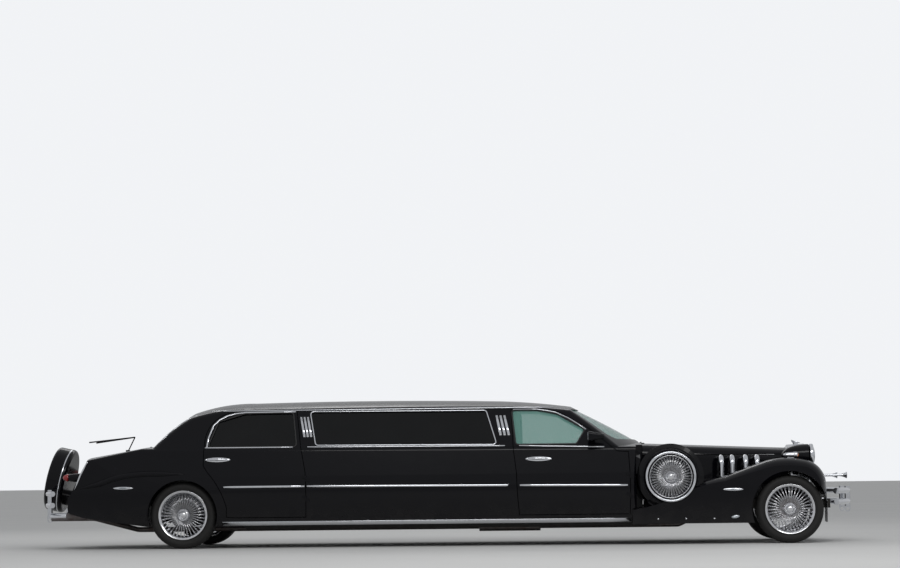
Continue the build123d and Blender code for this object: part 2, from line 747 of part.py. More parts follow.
with BuildPart() as rear_body:
    add(side_panels.part)
    add(along(rear(-1500), rear(900)), mode=Mode.INTERSECT)
    add(boot_block(0), mode=Mode.SUBTRACT)
    # Wheelhouses: a closed tub over each wheel, open to the road
    for side in (1, -1):
        with BuildSketch(Plane.XZ.offset(-side * TUB_INNER)):
            with Locations((REAR_AXLE, AXLE_HEIGHT)):
                Circle(REAR_ARCH_RADIUS + TUB_SHEET)
        extrude(amount=-side * (HALF_WIDTH - BODY_WALL + 10 - TUB_INNER))
    with BuildSketch(Plane.XZ.offset(-HALF_WIDTH - 100)):
        with Locations((REAR_AXLE, AXLE_HEIGHT)):
            Circle(REAR_ARCH_RADIUS)
    extrude(amount=HALF_WIDTH + 100 - TUB_INNER - TUB_SHEET, mode=Mode.SUBTRACT)
    with BuildSketch(Plane.XZ.offset(HALF_WIDTH + 100)):
        with Locations((REAR_AXLE, AXLE_HEIGHT)):
            Circle(REAR_ARCH_RADIUS)
    extrude(amount=-(HALF_WIDTH + 100 - TUB_INNER - TUB_SHEET), mode=Mode.SUBTRACT)
    # The tub's inner wall stops above the axle, and the bumper bracket has its slot
    for side in (1, -1):
        with BuildSketch(Plane.XZ.offset(-side * (TUB_INNER - 10))):
            with Locations((REAR_AXLE, 0)):
                Rectangle(2 * REAR_ARCH_RADIUS - 4, AXLE_HEIGHT + 94, align=(Align.CENTER, Align.MIN))
        extrude(amount=-side * (TUB_SHEET + 12), mode=Mode.SUBTRACT)
        with BuildSketch(Plane.XY):
            with Locations((rear(-1400), side * RAIL_HALF_Y)):
                Rectangle(420, 48, align=(Align.MIN, Align.CENTER))
        extrude(amount=RAIL_REAR_FOOT + 4, mode=Mode.SUBTRACT)
    add(below(SILL_BOTTOM + 5), mode=Mode.SUBTRACT)
    boot_line = rear(BOOT_FRONT) - PANEL_GAP / 2
    for y in (LID_HINGE_Y, -LID_HINGE_Y):
        line = lid_hinge_plane(boot_line, y, BOOT_HINGE_HEIGHT)
        add(hinge_room(line, HINGE_HEIGHT + SEAT_GAP), mode=Mode.SUBTRACT)
        add(hinge_half(line, 0, 1, LID_STRAP_RISE))
save(rear_body, "rear_body")

with BuildPart() as boot_lid:
    add(shell.part)
    add(boot_block(PANEL_GAP), mode=Mode.INTERSECT)
    for y in (LID_HINGE_Y, -LID_HINGE_Y):
        line = lid_hinge_plane(boot_line, y, BOOT_HINGE_HEIGHT)
        add(hinge_room(line, 0), mode=Mode.SUBTRACT)
        add(hinge_half(line, HINGE_HEIGHT + SEAT_GAP, -1, LID_STRAP_RISE))
save(boot_lid, "boot_lid")

# Fixed glass
with BuildPart() as windscreen:
    add(glass_layer.part)
    add(screen_prism(front(-2350), 1050, WINDSCREEN_LOW, WINDSCREEN_HIGH, GLASS_FIT), mode=Mode.INTERSECT)
save(windscreen, "windscreen")

with BuildPart() as fixed_openings:
    add(both_sides(window_prism(CENTRE_WINDOW, GLASS_FIT)))
    add(screen_prism(rear(-600), 850, BACKLIGHT_LOW, BACKLIGHT_HIGH, GLASS_FIT))
with BuildPart() as fixed_windows:
    add(glass_layer.part)
    add(fixed_openings.part, mode=Mode.INTERSECT)
save(fixed_windows, "fixed_windows")


# Bonnet: one tapering shell, split into the lid and the fixed sides
def bonnet_block(inset):
    """The bonnet as a closed block that tapers from the cowl to the radiator."""
    with BuildPart() as block:
        for x, half, top in (
            (front(BONNET_REAR), BONNET_REAR_HALF, BONNET_REAR_TOP),
            (front(BONNET_FRONT), BONNET_FRONT_HALF, BONNET_FRONT_TOP),
        ):
            side = half - inset
            crown = top - inset
            foot = BONNET_SIDE_FOOT - inset
            with BuildSketch(Plane.YZ.offset(x)):
                with BuildLine():
                    Line((side, foot), (side, crown - 135))
                    ThreePointArc((side, crown - 135), (side - 38, crown - 52), (side - 125, crown - 20))
                    ThreePointArc((side - 125, crown - 20), (0, crown), (125 - side, crown - 20))
                    ThreePointArc((125 - side, crown - 20), (38 - side, crown - 52), (-side, crown - 135))
                    Polyline((-side, crown - 135), (-side, foot), (side, foot))
                make_face()
        loft(ruled=True)
    return block.part


with BuildPart() as bonnet_shell:
    add(bonnet_block(0))
    add(bonnet_block(BONNET_SHEET), mode=Mode.SUBTRACT)

with BuildPart() as bonnet_lid:
    add(bonnet_shell.part)
    add(above(BONNET_SPLIT + PANEL_GAP / 2), mode=Mode.INTERSECT)
    add(along(front(BONNET_REAR) + PANEL_GAP, front(BONNET_FRONT) - PANEL_GAP), mode=Mode.INTERSECT)
    for y in (LID_HINGE_Y, -LID_HINGE_Y):
        line = lid_hinge_plane(bonnet_line, y, BONNET_HINGE_HEIGHT)
        add(hinge_room(line, 0), mode=Mode.SUBTRACT)
        add(hinge_half(line, HINGE_HEIGHT + SEAT_GAP, 1, LID_STRAP_RISE))
save(bonnet_lid, "bonnet_lid")


# Fixed bonnet sides, with a boss where each outside pipe leaves
with BuildPart() as bonnet_sides:
    add(bonnet_shell.part)
    add(below(BONNET_SPLIT - PANEL_GAP / 2), mode=Mode.INTERSECT)
    add(along(front(BONNET_REAR) + SEAT_GAP, front(BONNET_FRONT) - SEAT_GAP), mode=Mode.INTERSECT)
    for x in PIPE_PLACES:
        for side in (1, -1):
            with BuildSketch(Plane.XZ.offset(-side * (bonnet_half(x) - BONNET_SHEET))):
                with Locations((front(x), PIPE_HEIGHT - 8)):
                    Ellipse(PIPE_RADIUS + 8, PIPE_RADIUS - 12)
            extrude(amount=-side * (BONNET_SHEET + 14))
save(bonnet_sides, "bonnet_sides")


with BuildPart() as wing:
    add(wing_block(0))
    add(wing_block(WING_SHEET), mode=Mode.SUBTRACT)
    # Well for the side-mounted spare, with a tray under its tyre
    with BuildSketch(Plane.XZ.offset(-SPARE_FACE_Y - SEAT_GAP)):
        with Locations((front(SPARE_X), SPARE_HEIGHT)):
            Circle(SPARE_RADIUS + 2 * SEAT_GAP)
    extrude(amount=SPARE_WIDTH + 2 * SEAT_GAP, mode=Mode.SUBTRACT)
    with BuildSketch(Plane.XZ.offset(-SPARE_FACE_Y - SEAT_GAP - 12)):
        with Locations((front(SPARE_X), SPARE_HEIGHT)):
            Circle(SPARE_RADIUS + WING_SHEET)
            Circle(SPARE_RADIUS + 2 * SEAT_GAP, mode=Mode.SUBTRACT)
        with Locations((front(SPARE_X), SPARE_HEIGHT - SPARE_RADIUS * 0.75)):
            Rectangle(3 * SPARE_RADIUS, 3 * SPARE_RADIUS, align=(Align.CENTER, Align.MIN), mode=Mode.SUBTRACT)
    extrude(amount=SPARE_WIDTH + 12)
    add(beside_bonnet(SEAT_GAP), mode=Mode.SUBTRACT)
    with BuildSketch(Plane.XZ.offset(-HALF_WIDTH - 50)):
        with Locations((FRONT_AXLE, AXLE_HEIGHT)):
            Circle(ARCH_RADIUS)
    extrude(amount=HALF_WIDTH, mode=Mode.SUBTRACT)
    # Room for the rail ends and the bumper brackets
    with BuildSketch(Plane.XY):
        with Locations((FRONT_AXLE, 0)):
            Rectangle(600, RAIL_HALF_Y + 56, align=(Align.MIN, Align.MIN))
    extrude(amount=RAIL_FRONT_FOOT + RAIL_HEIGHT + 12, mode=Mode.SUBTRACT)
with BuildPart() as front_wings:
    add(both_sides(wing.part))
save(front_wings, "front_wings")


# Wire wheel on an axis along Y through the origin, outer face towards +Y
def wire_wheel(radius, half_width, hub_in, hub_out, bore):
    """Rim, dished wire spokes and a knock-off hub; a bore of zero leaves the hub solid."""
    with BuildPart() as wheel:
        with BuildSketch(Plane.XY):
            Polygon((radius, -half_width), (radius, half_width), (radius - 20, half_width),
                    (radius - 11, 0), (radius - 20, -half_width), align=None)
            with BuildLine():
                Polyline((0, hub_in), (HUB_RADIUS, hub_in), (HUB_RADIUS, hub_out - 45),
                         (HUB_RADIUS - 14, hub_out - 30),
                         (HUB_RADIUS - 20, hub_out), (0, hub_out), close=True)
            make_face()
        revolve(axis=Axis.Y)
        if bore:
            with BuildSketch(Plane.XZ.offset(-hub_in)):
                Circle(bore)
            extrude(amount=-STUB_REACH - THRUST_GAP, mode=Mode.SUBTRACT)
        for i in range(SPOKE_COUNT):
            turn = 360 / SPOKE_COUNT * i
            lead = 22 if i % 2 else -22
            hub_y = hub_in + 10 if i % 2 else hub_out - 52
            rim_y = half_width - 40
            inner = Vector((HUB_RADIUS - 5) * cos(radians(turn)), hub_y, (HUB_RADIUS - 5) * sin(radians(turn)))
            tip = radians(turn + lead)
            outer = Vector((radius - 12) * cos(tip), rim_y, (radius - 12) * sin(tip))
            with BuildSketch(Plane(origin=inner, z_dir=outer - inner)):
                Rectangle(SPOKE_WIDTH, SPOKE_WIDTH)
            extrude(amount=(outer - inner).length)
    return wheel.part


def tyre_ring(bead, radius, half_width, shoulder):
    """A tyre on an axis along Y through the origin, as straight-sided rings of its section."""
    with BuildPart() as tyre:
        with BuildSketch(Plane.XY):
            Polygon((bead, -half_width + 18), (bead + 50, -half_width), (radius, -half_width + shoulder),
                    (radius, half_width - shoulder), (bead + 50, half_width), (bead, half_width - 18), align=None)
        revolve(axis=Axis.Y)
    return tyre.part


road_wheel = wire_wheel(RIM_RADIUS, TYRE_WIDTH / 2 - 8, HUB_INNER, HUB_OUTER, STUB_RADIUS + GLASS_FIT)
road_tyre = tyre_ring(RIM_RADIUS + SEAT_GAP, TYRE_RADIUS, TYRE_WIDTH / 2, 26)
for name, axle in (("front", FRONT_AXLE), ("rear", REAR_AXLE)):
    place = Location((axle, WHEEL_Y, AXLE_HEIGHT))
    with BuildPart() as wheel:
        add(road_wheel.moved(place))
    save_sides(wheel, f"wheel_{name}")
    with BuildPart() as tyre:
        add(road_tyre.moved(place))
    save_sides(tyre, f"tyre_{name}")

# Side-mounted spares in the wings
spare_place = Location((front(SPARE_X), SPARE_FACE_Y - SPARE_WIDTH / 2, SPARE_HEIGHT))
with BuildPart() as spare_tyres:
    add(both_sides(tyre_ring(SPARE_DISC_RADIUS + SEAT_GAP, SPARE_RADIUS, SPARE_WIDTH / 2, 20).moved(spare_place)))
save(spare_tyres, "spare_tyres")
with BuildPart() as spare_wheels:
    add(both_sides(wire_wheel(SPARE_DISC_RADIUS, SPARE_WIDTH / 2 - 16, 0, SPARE_WIDTH / 2 + 10, 0).moved(spare_place)))
save(spare_wheels, "spare_wheels")


# Spare wheel cover, leaning with the boot lid, and the carrier that holds it off the lid
cover_reach = ((COVER_DEPTH / 2 - COVER_ROUND) * cos(radians(COVER_TILT))
               + (COVER_RADIUS - COVER_ROUND) * sin(radians(COVER_TILT)) + COVER_ROUND)
cover_plane = Plane(origin=(rear(cover_reach - REAR_OVERHANG), 0, COVER_HEIGHT), x_dir=(0, 1, 0),
                    z_dir=(-cos(radians(COVER_TILT)), 0, sin(radians(COVER_TILT))))
with BuildPart() as spare_cover:
    with BuildSketch(cover_plane.offset(-COVER_DEPTH / 2)):
        Circle(COVER_RADIUS)
    extrude(amount=COVER_DEPTH)
    fillet(spare_cover.edges().filter_by(GeomType.CIRCLE), COVER_ROUND)
    with BuildSketch(cover_plane.offset(5 - COVER_DEPTH / 2)):
        with Locations((0, CARRIER_RISE)):
            Circle(CARRIER_RADIUS)
    extrude(amount=-320)
    add(lower_solid(0).moved(Location((-FOOT_GAP, 0, 0))), mode=Mode.SUBTRACT)
save(spare_cover, "spare_cover")

# Outside pipes: out of the bonnet side and down into the wing
with BuildPart() as side_pipes:
    for x in PIPE_PLACES:
        start = bonnet_half(x) + 14 + SEAT_GAP
        with BuildLine(Plane.YZ.offset(front(x))) as route:
            FilletPolyline((start, PIPE_HEIGHT), (start + PIPE_BEND + 26, PIPE_HEIGHT),
                           (start + PIPE_BEND + 36, PIPE_HEIGHT - 330), radius=PIPE_BEND)
        with BuildSketch(Plane.XZ.offset(-start)):
            with Locations((front(x), PIPE_HEIGHT)):
                Circle(PIPE_RADIUS)
        sweep(path=route.line)
    mirror(about=Plane.XZ)
    add(wing_feet, mode=Mode.SUBTRACT)
save(side_pipes, "side_pipes")

# Radiator: a leaning shell with shoulders and upright bars in its mouth
radiator_plane = Plane(origin=(front(RADIATOR_REAR), 0, RADIATOR_TOP), x_dir=(0, 1, 0),
                       z_dir=(cos(radians(RADIATOR_LEAN)), 0, sin(radians(RADIATOR_LEAN))))
radiator_height = RADIATOR_TOP - RADIATOR_BOTTOM


def radiator_outline(half, top, foot):
    """The radiator's outline: straight sides, arched shoulders and a slightly raised middle."""
    with BuildLine() as outline:
        Polyline((-half + 60, foot), (-half, foot + 60), (-half, top - 120))
        ThreePointArc((-half, top - 120), (-half + 32, top - 52), (-half + 110, top - 26))
        Line((-half + 110, top - 26), (0, top))
        mirror(about=Plane.YZ)
        Line((-half + 60, foot), (half - 60, foot))
    return outline.line


with BuildPart() as radiator:
    with BuildSketch(radiator_plane):
        with BuildLine():
            add(radiator_outline(RADIATOR_HALF, 0, -radiator_height))
        make_face()
    extrude(amount=RADIATOR_DEPTH)
    chamfer(radiator.faces().sort_by(Axis.X)[-1].edges(), 12)
    mouth = RADIATOR_HALF - RADIATOR_FRAME
    with BuildSketch(radiator_plane.offset(RADIATOR_DEPTH - 70)):
        with BuildLine():
            add(radiator_outline(mouth, -RADIATOR_FRAME - 6, RADIATOR_FRAME - radiator_height))
        make_face()
    extrude(amount=100, mode=Mode.SUBTRACT)
    with BuildSketch(radiator_plane.offset(RADIATOR_DEPTH - 71)):
        with GridLocations(2 * mouth / GRILLE_BARS, 0, GRILLE_BARS, 1):
            with Locations((0, -radiator_height / 2)):
                Rectangle(GRILLE_BAR_WIDTH, radiator_height - RADIATOR_FRAME)
        with BuildLine():
            add(radiator_outline(mouth + 10, -RADIATOR_FRAME + 4, RADIATOR_FRAME - radiator_height - 10))
        make_face(mode=Mode.INTERSECT)
    extrude(amount=45)
    # Filler cap
    with BuildSketch(Plane.XY.offset(RADIATOR_TOP - 30)):
        with Locations((front(RADIATOR_REAR + RADIATOR_DEPTH / 2), 0)):
            Circle(26)
    extrude(amount=52)
save(radiator, "radiator")


def bullet(x_tail, x_front, y, z, radius, swell):
    """A turned lamp body on an axis along X: a long rounded tail, a straight rim and a domed front."""
    with BuildPart() as lamp:
        with BuildSketch(Plane.XY.offset(z)):
            with BuildLine():
                rim = x_front - swell
                Line((x_tail, y), (x_tail, y + radius * 0.12))
                Spline((x_tail, y + radius * 0.12), (x_tail + (rim - x_tail) * 0.12, y + radius * 0.5),
                       (x_tail + (rim - x_tail) * 0.4, y + radius * 0.83), (rim - radius * 0.3, y + radius))
                Line((rim - radius * 0.3, y + radius), (rim, y + radius))
                Spline((rim, y + radius), (x_front - swell * 0.28, y + radius * 0.52),
                       (x_front, y + radius * 0.06))
                Polyline((x_front, y + radius * 0.06), (x_front, y), (x_tail, y))
            make_face()
        revolve(axis=Axis((0, y, z), (1, 0, 0)))
    return lamp.part


with BuildPart() as headlamps:
    add(bullet(front(-37), front(271), HEADLAMP_Y, HEADLAMP_HEIGHT, HEADLAMP_RADIUS, 38))
    with BuildSketch(Plane.XY.offset(HEADLAMP_HEIGHT - 330)):
        with Locations((front(110), HEADLAMP_Y)):
            Circle(19)
    extrude(amount=300)
    mirror(about=Plane.XZ)
    add(wing_feet, mode=Mode.SUBTRACT)
save(headlamps, "headlamps")

with BuildPart() as wing_lamps:
    add(bullet(front(-45), front(109), WING_LAMP_Y, WING_LAMP_HEIGHT, WING_LAMP_RADIUS, 20))
    with BuildSketch(Plane.XY.offset(WING_LAMP_HEIGHT - 60)):
        with Locations((front(30), WING_LAMP_Y)):
            Rectangle(64, 16)
    extrude(amount=55)
    mirror(about=Plane.XZ)
    add(wing_feet, mode=Mode.SUBTRACT)
save(wing_lamps, "wing_lamps")

with BuildPart() as horns:
    with BuildSketch(Plane.XY.offset(HORN_HEIGHT)):
        with BuildLine():
            Polyline((front(100), HORN_Y), (front(100), HORN_Y + 13), (front(500), HORN_Y + 13))
            ThreePointArc((front(500), HORN_Y + 13), (front(575), HORN_Y + 18), (front(612), HORN_Y + 34))
            Polyline((front(612), HORN_Y + 34), (front(616), HORN_Y + 30), (front(590), HORN_Y), (front(100), HORN_Y))
        make_face()
    revolve(axis=Axis((0, HORN_Y, HORN_HEIGHT), (1, 0, 0)))
    mirror(about=Plane.XZ)
    add(wing_feet, mode=Mode.SUBTRACT)
save(horns, "horns")


def bumper_bar(start, middle, end, z, radius):
    """A round chrome bar along an arc in plan."""
    with BuildPart() as bar:
        with BuildLine(Plane.XY.offset(z)) as route:
            ThreePointArc(start, middle, end)
        with BuildSketch(Plane(origin=route.line @ 0, z_dir=route.line % 0)):
            Circle(radius)
        sweep(path=route.line)
    return bar.part


def towing_eye(x, y, top):
    """A towing eye that hangs below a bumper guard, its bore across the car."""
    with BuildPart() as eye:
        with BuildSketch(Plane.XZ.offset(-y - EYE_THICK / 2)):
            with Locations((x, top - EYE_DROP)):
                Circle(EYE_RADIUS + EYE_WALL)
                Rectangle(2 * (EYE_RADIUS + EYE_WALL), EYE_DROP + 5, align=(Align.CENTER, Align.MIN))
                Circle(EYE_RADIUS, mode=Mode.SUBTRACT)
        extrude(amount=EYE_THICK)
    return eye.part


bumper_x = FRONT_OVERHANG - BUMPER_TUBE
with BuildPart() as front_bumper:
    for z in (BUMPER_UPPER, BUMPER_LOWER):
        add(bumper_bar((front(bumper_x - 190), -BUMPER_HALF), (front(bumper_x), 0),
                       (front(bumper_x - 190), BUMPER_HALF), z, BUMPER_TUBE))
    with BuildSketch(Plane.XY.offset(BUMPER_LOWER - 45)):
        with Locations((front(bumper_x - 20), 260), (front(bumper_x - 20), -260)):
            RectangleRounded(56, 46, 14)
    extrude(amount=BUMPER_UPPER - BUMPER_LOWER + 90)
    for side in (1, -1):
        add(towing_eye(front(bumper_x - 20), side * 260, BUMPER_LOWER - 45))
    # Bracket for a number plate between the bars
    with BuildSketch(Plane.YZ.offset(front(bumper_x) - PLATE_SHEET / 2)):
        with Locations((0, (BUMPER_UPPER + BUMPER_LOWER) / 2)):
            Rectangle(PLATE_SPACING + 82, BUMPER_UPPER - BUMPER_LOWER - BUMPER_TUBE)
            with GridLocations(PLATE_SPACING, 1, 2, 1):
                Circle(PLATE_HOLE, mode=Mode.SUBTRACT)
    extrude(amount=PLATE_SHEET)
    with BuildSketch(Plane.XY.offset(BUMPER_LOWER - 22)):
        with Locations((front(RAIL_FRONT) + SEAT_GAP, RAIL_HALF_Y), (front(RAIL_FRONT) + SEAT_GAP, -RAIL_HALF_Y)):
            Rectangle(bumper_x - RAIL_FRONT - 50, 40, align=(Align.MIN, Align.CENTER))
    extrude(amount=36)
save(front_bumper, "front_bumper")

with BuildPart() as rear_bumper:
    for z in (REAR_BUMPER_UPPER, REAR_BUMPER_LOWER):
        add(bumper_bar((rear(-1452), 385), (rear(-1432), 600), (rear(-1345), 800), z, BUMPER_TUBE - 3))
    with BuildSketch(Plane.XY.offset(RAIL_REAR_FOOT - 40)):
        with Locations((rear(-1446), RAIL_HALF_Y)):
            RectangleRounded(50, 44, 12)
    extrude(amount=REAR_BUMPER_UPPER - RAIL_REAR_FOOT + 80)
    add(towing_eye(rear(-1446), RAIL_HALF_Y, RAIL_REAR_FOOT - 40))
    with BuildSketch(Plane.XY.offset(RAIL_REAR_FOOT - 36)):
        with Locations((rear(RAIL_REAR) - SEAT_GAP + 60, RAIL_HALF_Y)):
            Rectangle(rear(RAIL_REAR) + 60 - rear(-1446), 40, align=(Align.MAX, Align.CENTER))
    extrude(amount=36 - SEAT_GAP)
    mirror(about=Plane.XZ)
save(rear_bumper, "rear_bumper")

# Chassis: two side rails that rise over the rear axle and to the front suspension
RAIL_TOP = FLOOR_TOP - FLOOR_SHEET - SEAT_GAP
with BuildPart() as frame_rails:
    with BuildSketch(Plane.XZ.offset(-RAIL_HALF_Y - RAIL_WIDTH / 2)):
        with BuildLine():
            Polyline((rear(RAIL_REAR), RAIL_REAR_FOOT + 80), (rear(-480), RAIL_REAR_FOOT + 80),
                     (rear(-270), KICK_TOP), (rear(278), KICK_TOP), (rear(545), RAIL_TOP),
                     (front(-1446), RAIL_TOP), (front(-1200), RAIL_FRONT_FOOT + RAIL_HEIGHT),
                     (front(RAIL_FRONT), RAIL_FRONT_FOOT + RAIL_HEIGHT),
                     (front(RAIL_FRONT), RAIL_FRONT_FOOT), (front(-1165), RAIL_FRONT_FOOT),
                     (front(-1410), RAIL_TOP - RAIL_HEIGHT), (rear(590), RAIL_TOP - RAIL_HEIGHT),
                     (rear(300), KICK_TOP - 84), (rear(-270), KICK_TOP - 84), (rear(-450), RAIL_REAR_FOOT),
                     (rear(RAIL_REAR), RAIL_REAR_FOOT), close=True)
        make_face()
    extrude(amount=RAIL_WIDTH)
    mirror(about=Plane.XZ)
save(frame_rails, "frame_rails")

with BuildPart() as crossmembers:
    span = 2 * RAIL_HALF_Y - RAIL_WIDTH - 2 * SEAT_GAP
    for x, z in (
        (rear(-1090), RAIL_REAR_FOOT + 10),
        (rear(700), RAIL_TOP - 50), (rear(1700), RAIL_TOP - 50), (rear(2700), RAIL_TOP - 50),
        (rear(3700), RAIL_TOP - 50),
        (front(410), RAIL_FRONT_FOOT + 20),
    ):
        with BuildSketch(Plane.XZ.offset(-span / 2)):
            with Locations((x, z)):
                Rectangle(64, 49, align=(Align.CENTER, Align.MIN))
        extrude(amount=span)
save(crossmembers, "crossmembers")

# Floor: a pressed sheet with a shaft tunnel, stepped up over the rear axle for the boot
floor_half = SILL_FOOT_HALF - 2 * BODY_WALL * sin(radians(45)) + FLOOR_TOP - FLOOR_SHEET - SILL_BOTTOM - GLASS_FIT
with BuildPart() as floor_pan:
    with BuildSketch(Plane.XZ.offset(-HALF_WIDTH)):
        with BuildLine():
            Polyline((rear(-1200), BOOT_FLOOR), (rear(300), BOOT_FLOOR), (rear(560), FLOOR_TOP),
                     (front(BONNET_REAR) - 1, FLOOR_TOP), (front(BONNET_REAR) - 1, FLOOR_TOP - FLOOR_SHEET),
                     (rear(554), FLOOR_TOP - FLOOR_SHEET), (rear(294), BOOT_FLOOR - FLOOR_SHEET),
                     (rear(-1200), BOOT_FLOOR - FLOOR_SHEET), close=True)
        make_face()
    extrude(amount=2 * HALF_WIDTH)
    with BuildSketch():
        with BuildLine():
            wide = TUB_INNER - GLASS_FIT
            tub = REAR_ARCH_RADIUS + TUB_SHEET + 3
            Polyline((rear(-1199), 0), (rear(-1199), 760), (rear(-tub), 850), (rear(-tub), wide),
                     (rear(tub), wide), (rear(tub), floor_half), (front(WING_REAR) - 4, floor_half),
                     (front(WING_REAR) - 4, 700), (front(BONNET_REAR) - 1, 700), (front(BONNET_REAR) - 1, 0))
            mirror(about=Plane.XZ)
        make_face()
    extrude(amount=600, mode=Mode.INTERSECT)
    add(lower_solid(BODY_WALL + GLASS_FIT), mode=Mode.INTERSECT)
    add(tunnel_block(FLOOR_SHEET, 0))
    add(tunnel_block(0, 0), mode=Mode.SUBTRACT)
save(floor_pan, "floor_pan")

# Rear axle: tube, differential and drums, with a stub in each hub
with BuildPart() as rear_axle:
    hub_seat = WHEEL_Y + HUB_INNER - THRUST_GAP
    for radius, reach in ((AXLE_TUBE, hub_seat - 8), (STUB_RADIUS, hub_seat + STUB_REACH - 2)):
        with BuildSketch(Plane.XZ.offset(-reach)):
            with Locations((REAR_AXLE, AXLE_HEIGHT)):
                Circle(radius)
        extrude(amount=2 * reach)
    with BuildSketch(Plane.YZ.offset(rear(-120))):
        with Locations((0, AXLE_HEIGHT)):
            Circle(136)
    extrude(amount=230, taper=8)
    for side in (1, -1):
        with BuildSketch(Plane.XZ.offset(-side * hub_seat)):
            with Locations((REAR_AXLE, AXLE_HEIGHT)):
                Circle(DRUM_RADIUS)
        extrude(amount=side * 64)
        with BuildSketch(Plane.XY.offset(AXLE_HEIGHT)):
            with Locations((REAR_AXLE, side * RAIL_HALF_Y)):
                Rectangle(90, 50)
        extrude(amount=KICK_TOP - 84 - SEAT_GAP - AXLE_HEIGHT)
save(rear_axle, "rear_axle")

with BuildPart() as propshaft:
    with BuildSketch(Plane.YZ.offset(rear(110) + SEAT_GAP)):
        with Locations((0, AXLE_HEIGHT)):
            Circle(36)
    extrude(amount=front(-1420) - rear(124))
    split(bisect_by=Plane.YZ.offset(front(-1420)), keep=Keep.BOTTOM)
save(propshaft, "propshaft")

# Front suspension: a crossmember with lower arms, and upper arms on the rails
with BuildPart() as front_suspension:
    with BuildSketch(Plane.XY.offset(LOWER_ARM)):
        with BuildLine():
            Polyline((front(-120), 0), (front(-120), 520), (front(-24), KINGPIN_Y + 10), (front(24), KINGPIN_Y + 10),
                     (front(120), 520), (front(120), 0))
            mirror(about=Plane.XZ)
        make_face()
    extrude(amount=ARM_SHEET)
    with BuildSketch(Plane.XY.offset(LOWER_ARM)):
        with Locations((FRONT_AXLE, 0)):
            Rectangle(150, 1010)
    extrude(amount=RAIL_FRONT_FOOT - SEAT_GAP - LOWER_ARM)
    with BuildSketch(Plane.XY.offset(RAIL_FRONT_FOOT + RAIL_HEIGHT + SEAT_GAP)):
        with BuildLine():
            Polyline((front(-90), 425), (front(-20), KINGPIN_Y + 10), (front(20), KINGPIN_Y + 10), (front(90), 425),
                     close=True)
        make_face()
        mirror(about=Plane.XZ)
    extrude(amount=ARM_SHEET)
save(front_suspension, "front_suspension")

with BuildPart() as knuckle:
    with BuildSketch(Plane.XY.offset(LOWER_ARM + ARM_SHEET + THRUST_GAP)):
        with Locations((FRONT_AXLE, KINGPIN_Y)):
            Circle(20)
    extrude(amount=RAIL_FRONT_FOOT + RAIL_HEIGHT + SEAT_GAP - LOWER_ARM - ARM_SHEET - 2 * THRUST_GAP)
    for radius, place, reach in (
        (DRUM_RADIUS - 40, hub_seat - BACKPLATE, BACKPLATE),
        (STUB_RADIUS, KINGPIN_Y, hub_seat + STUB_REACH - 2 - KINGPIN_Y),
    ):
        with BuildSketch(Plane.XZ.offset(-place)):
            with Locations((FRONT_AXLE, AXLE_HEIGHT)):
                Circle(radius)
        extrude(amount=-reach)
save_sides(knuckle, "knuckle")

# Engine and gearbox as one plain block
with BuildPart() as engine:
    with BuildSketch(Plane.XZ.offset(-240)):
        with BuildLine():
            Polyline((front(-980), 350), (front(-160), 350), (front(-160), 800), (front(-900), 830),
                     (front(-980), 480), close=True)
        make_face()
    extrude(amount=480)
    with BuildSketch(Plane.YZ.offset(front(-1420) + SEAT_GAP)):
        with Locations((0, AXLE_HEIGHT + 14)):
            Rectangle(200, 150)
    extrude(amount=445)
save(engine, "engine")

with BuildPart() as exhaust:
    with BuildLine() as route:
        FilletPolyline((front(-760), -300, 335), (front(-1080), -300, EXHAUST_LOW), (rear(-560), -300, EXHAUST_LOW),
                       (rear(-960), -EXHAUST_Y, EXHAUST_TIP), (rear(-1405), -EXHAUST_Y, EXHAUST_TIP), radius=90)
    with BuildSketch(Plane(origin=route.line @ 0, z_dir=route.line % 0)):
        Circle(26)
    sweep(path=route.line)
    with BuildSketch(Plane.YZ.offset(rear(2950))):
        with Locations((-300, EXHAUST_LOW)):
            RectangleRounded(230, 96, 40)
    extrude(amount=620)
    # Hangers below the crossmembers
    with BuildSketch(Plane.XY.offset(EXHAUST_LOW)):
        with Locations((rear(700), -300), (rear(1700), -300), (rear(2700), -300), (rear(3700), -300)):
            Rectangle(30, 12)
    extrude(amount=RAIL_TOP - 50 - SEAT_GAP - EXHAUST_LOW)
save(exhaust, "exhaust")

with BuildPart() as fuel_tank:
    with BuildSketch(Plane.XZ.offset(-280)):
        with BuildLine():
            Polyline((rear(-960), BOOT_FLOOR - FLOOR_SHEET - SEAT_GAP),
                     (rear(-300), BOOT_FLOOR - FLOOR_SHEET - SEAT_GAP),
                     (rear(-330), 290), (rear(-900), 300), close=True)
        make_face()
    extrude(amount=560)
save(fuel_tank, "fuel_tank")

# Front apron between the wings, below the radiator
with BuildPart() as front_apron:
    with BuildSketch(Plane.XZ.offset(-WING_INNER + 2)):
        with BuildLine():
            top = RADIATOR_BOTTOM + 0.4
            Polyline((front(BONNET_FRONT), top), (front(250), top), (front(370), 520),
                     (front(370), 506), (front(255), top - 14), (front(BONNET_FRONT), top - 14),
                     close=True)
        make_face()
    extrude(amount=2 * WING_INNER - 4)
save(front_apron, "front_apron")

with BuildPart() as tail_lamps:
    add(bullet(rear(-1250), rear(-900), TAIL_LAMP_Y, TAIL_LAMP_HEIGHT, 52, 30))
    mirror(about=Plane.XZ)
    add(lower_solid(0).moved(Location((-FOOT_GAP, 0, 0))), mode=Mode.SUBTRACT)
save(tail_lamps, "tail_lamps")

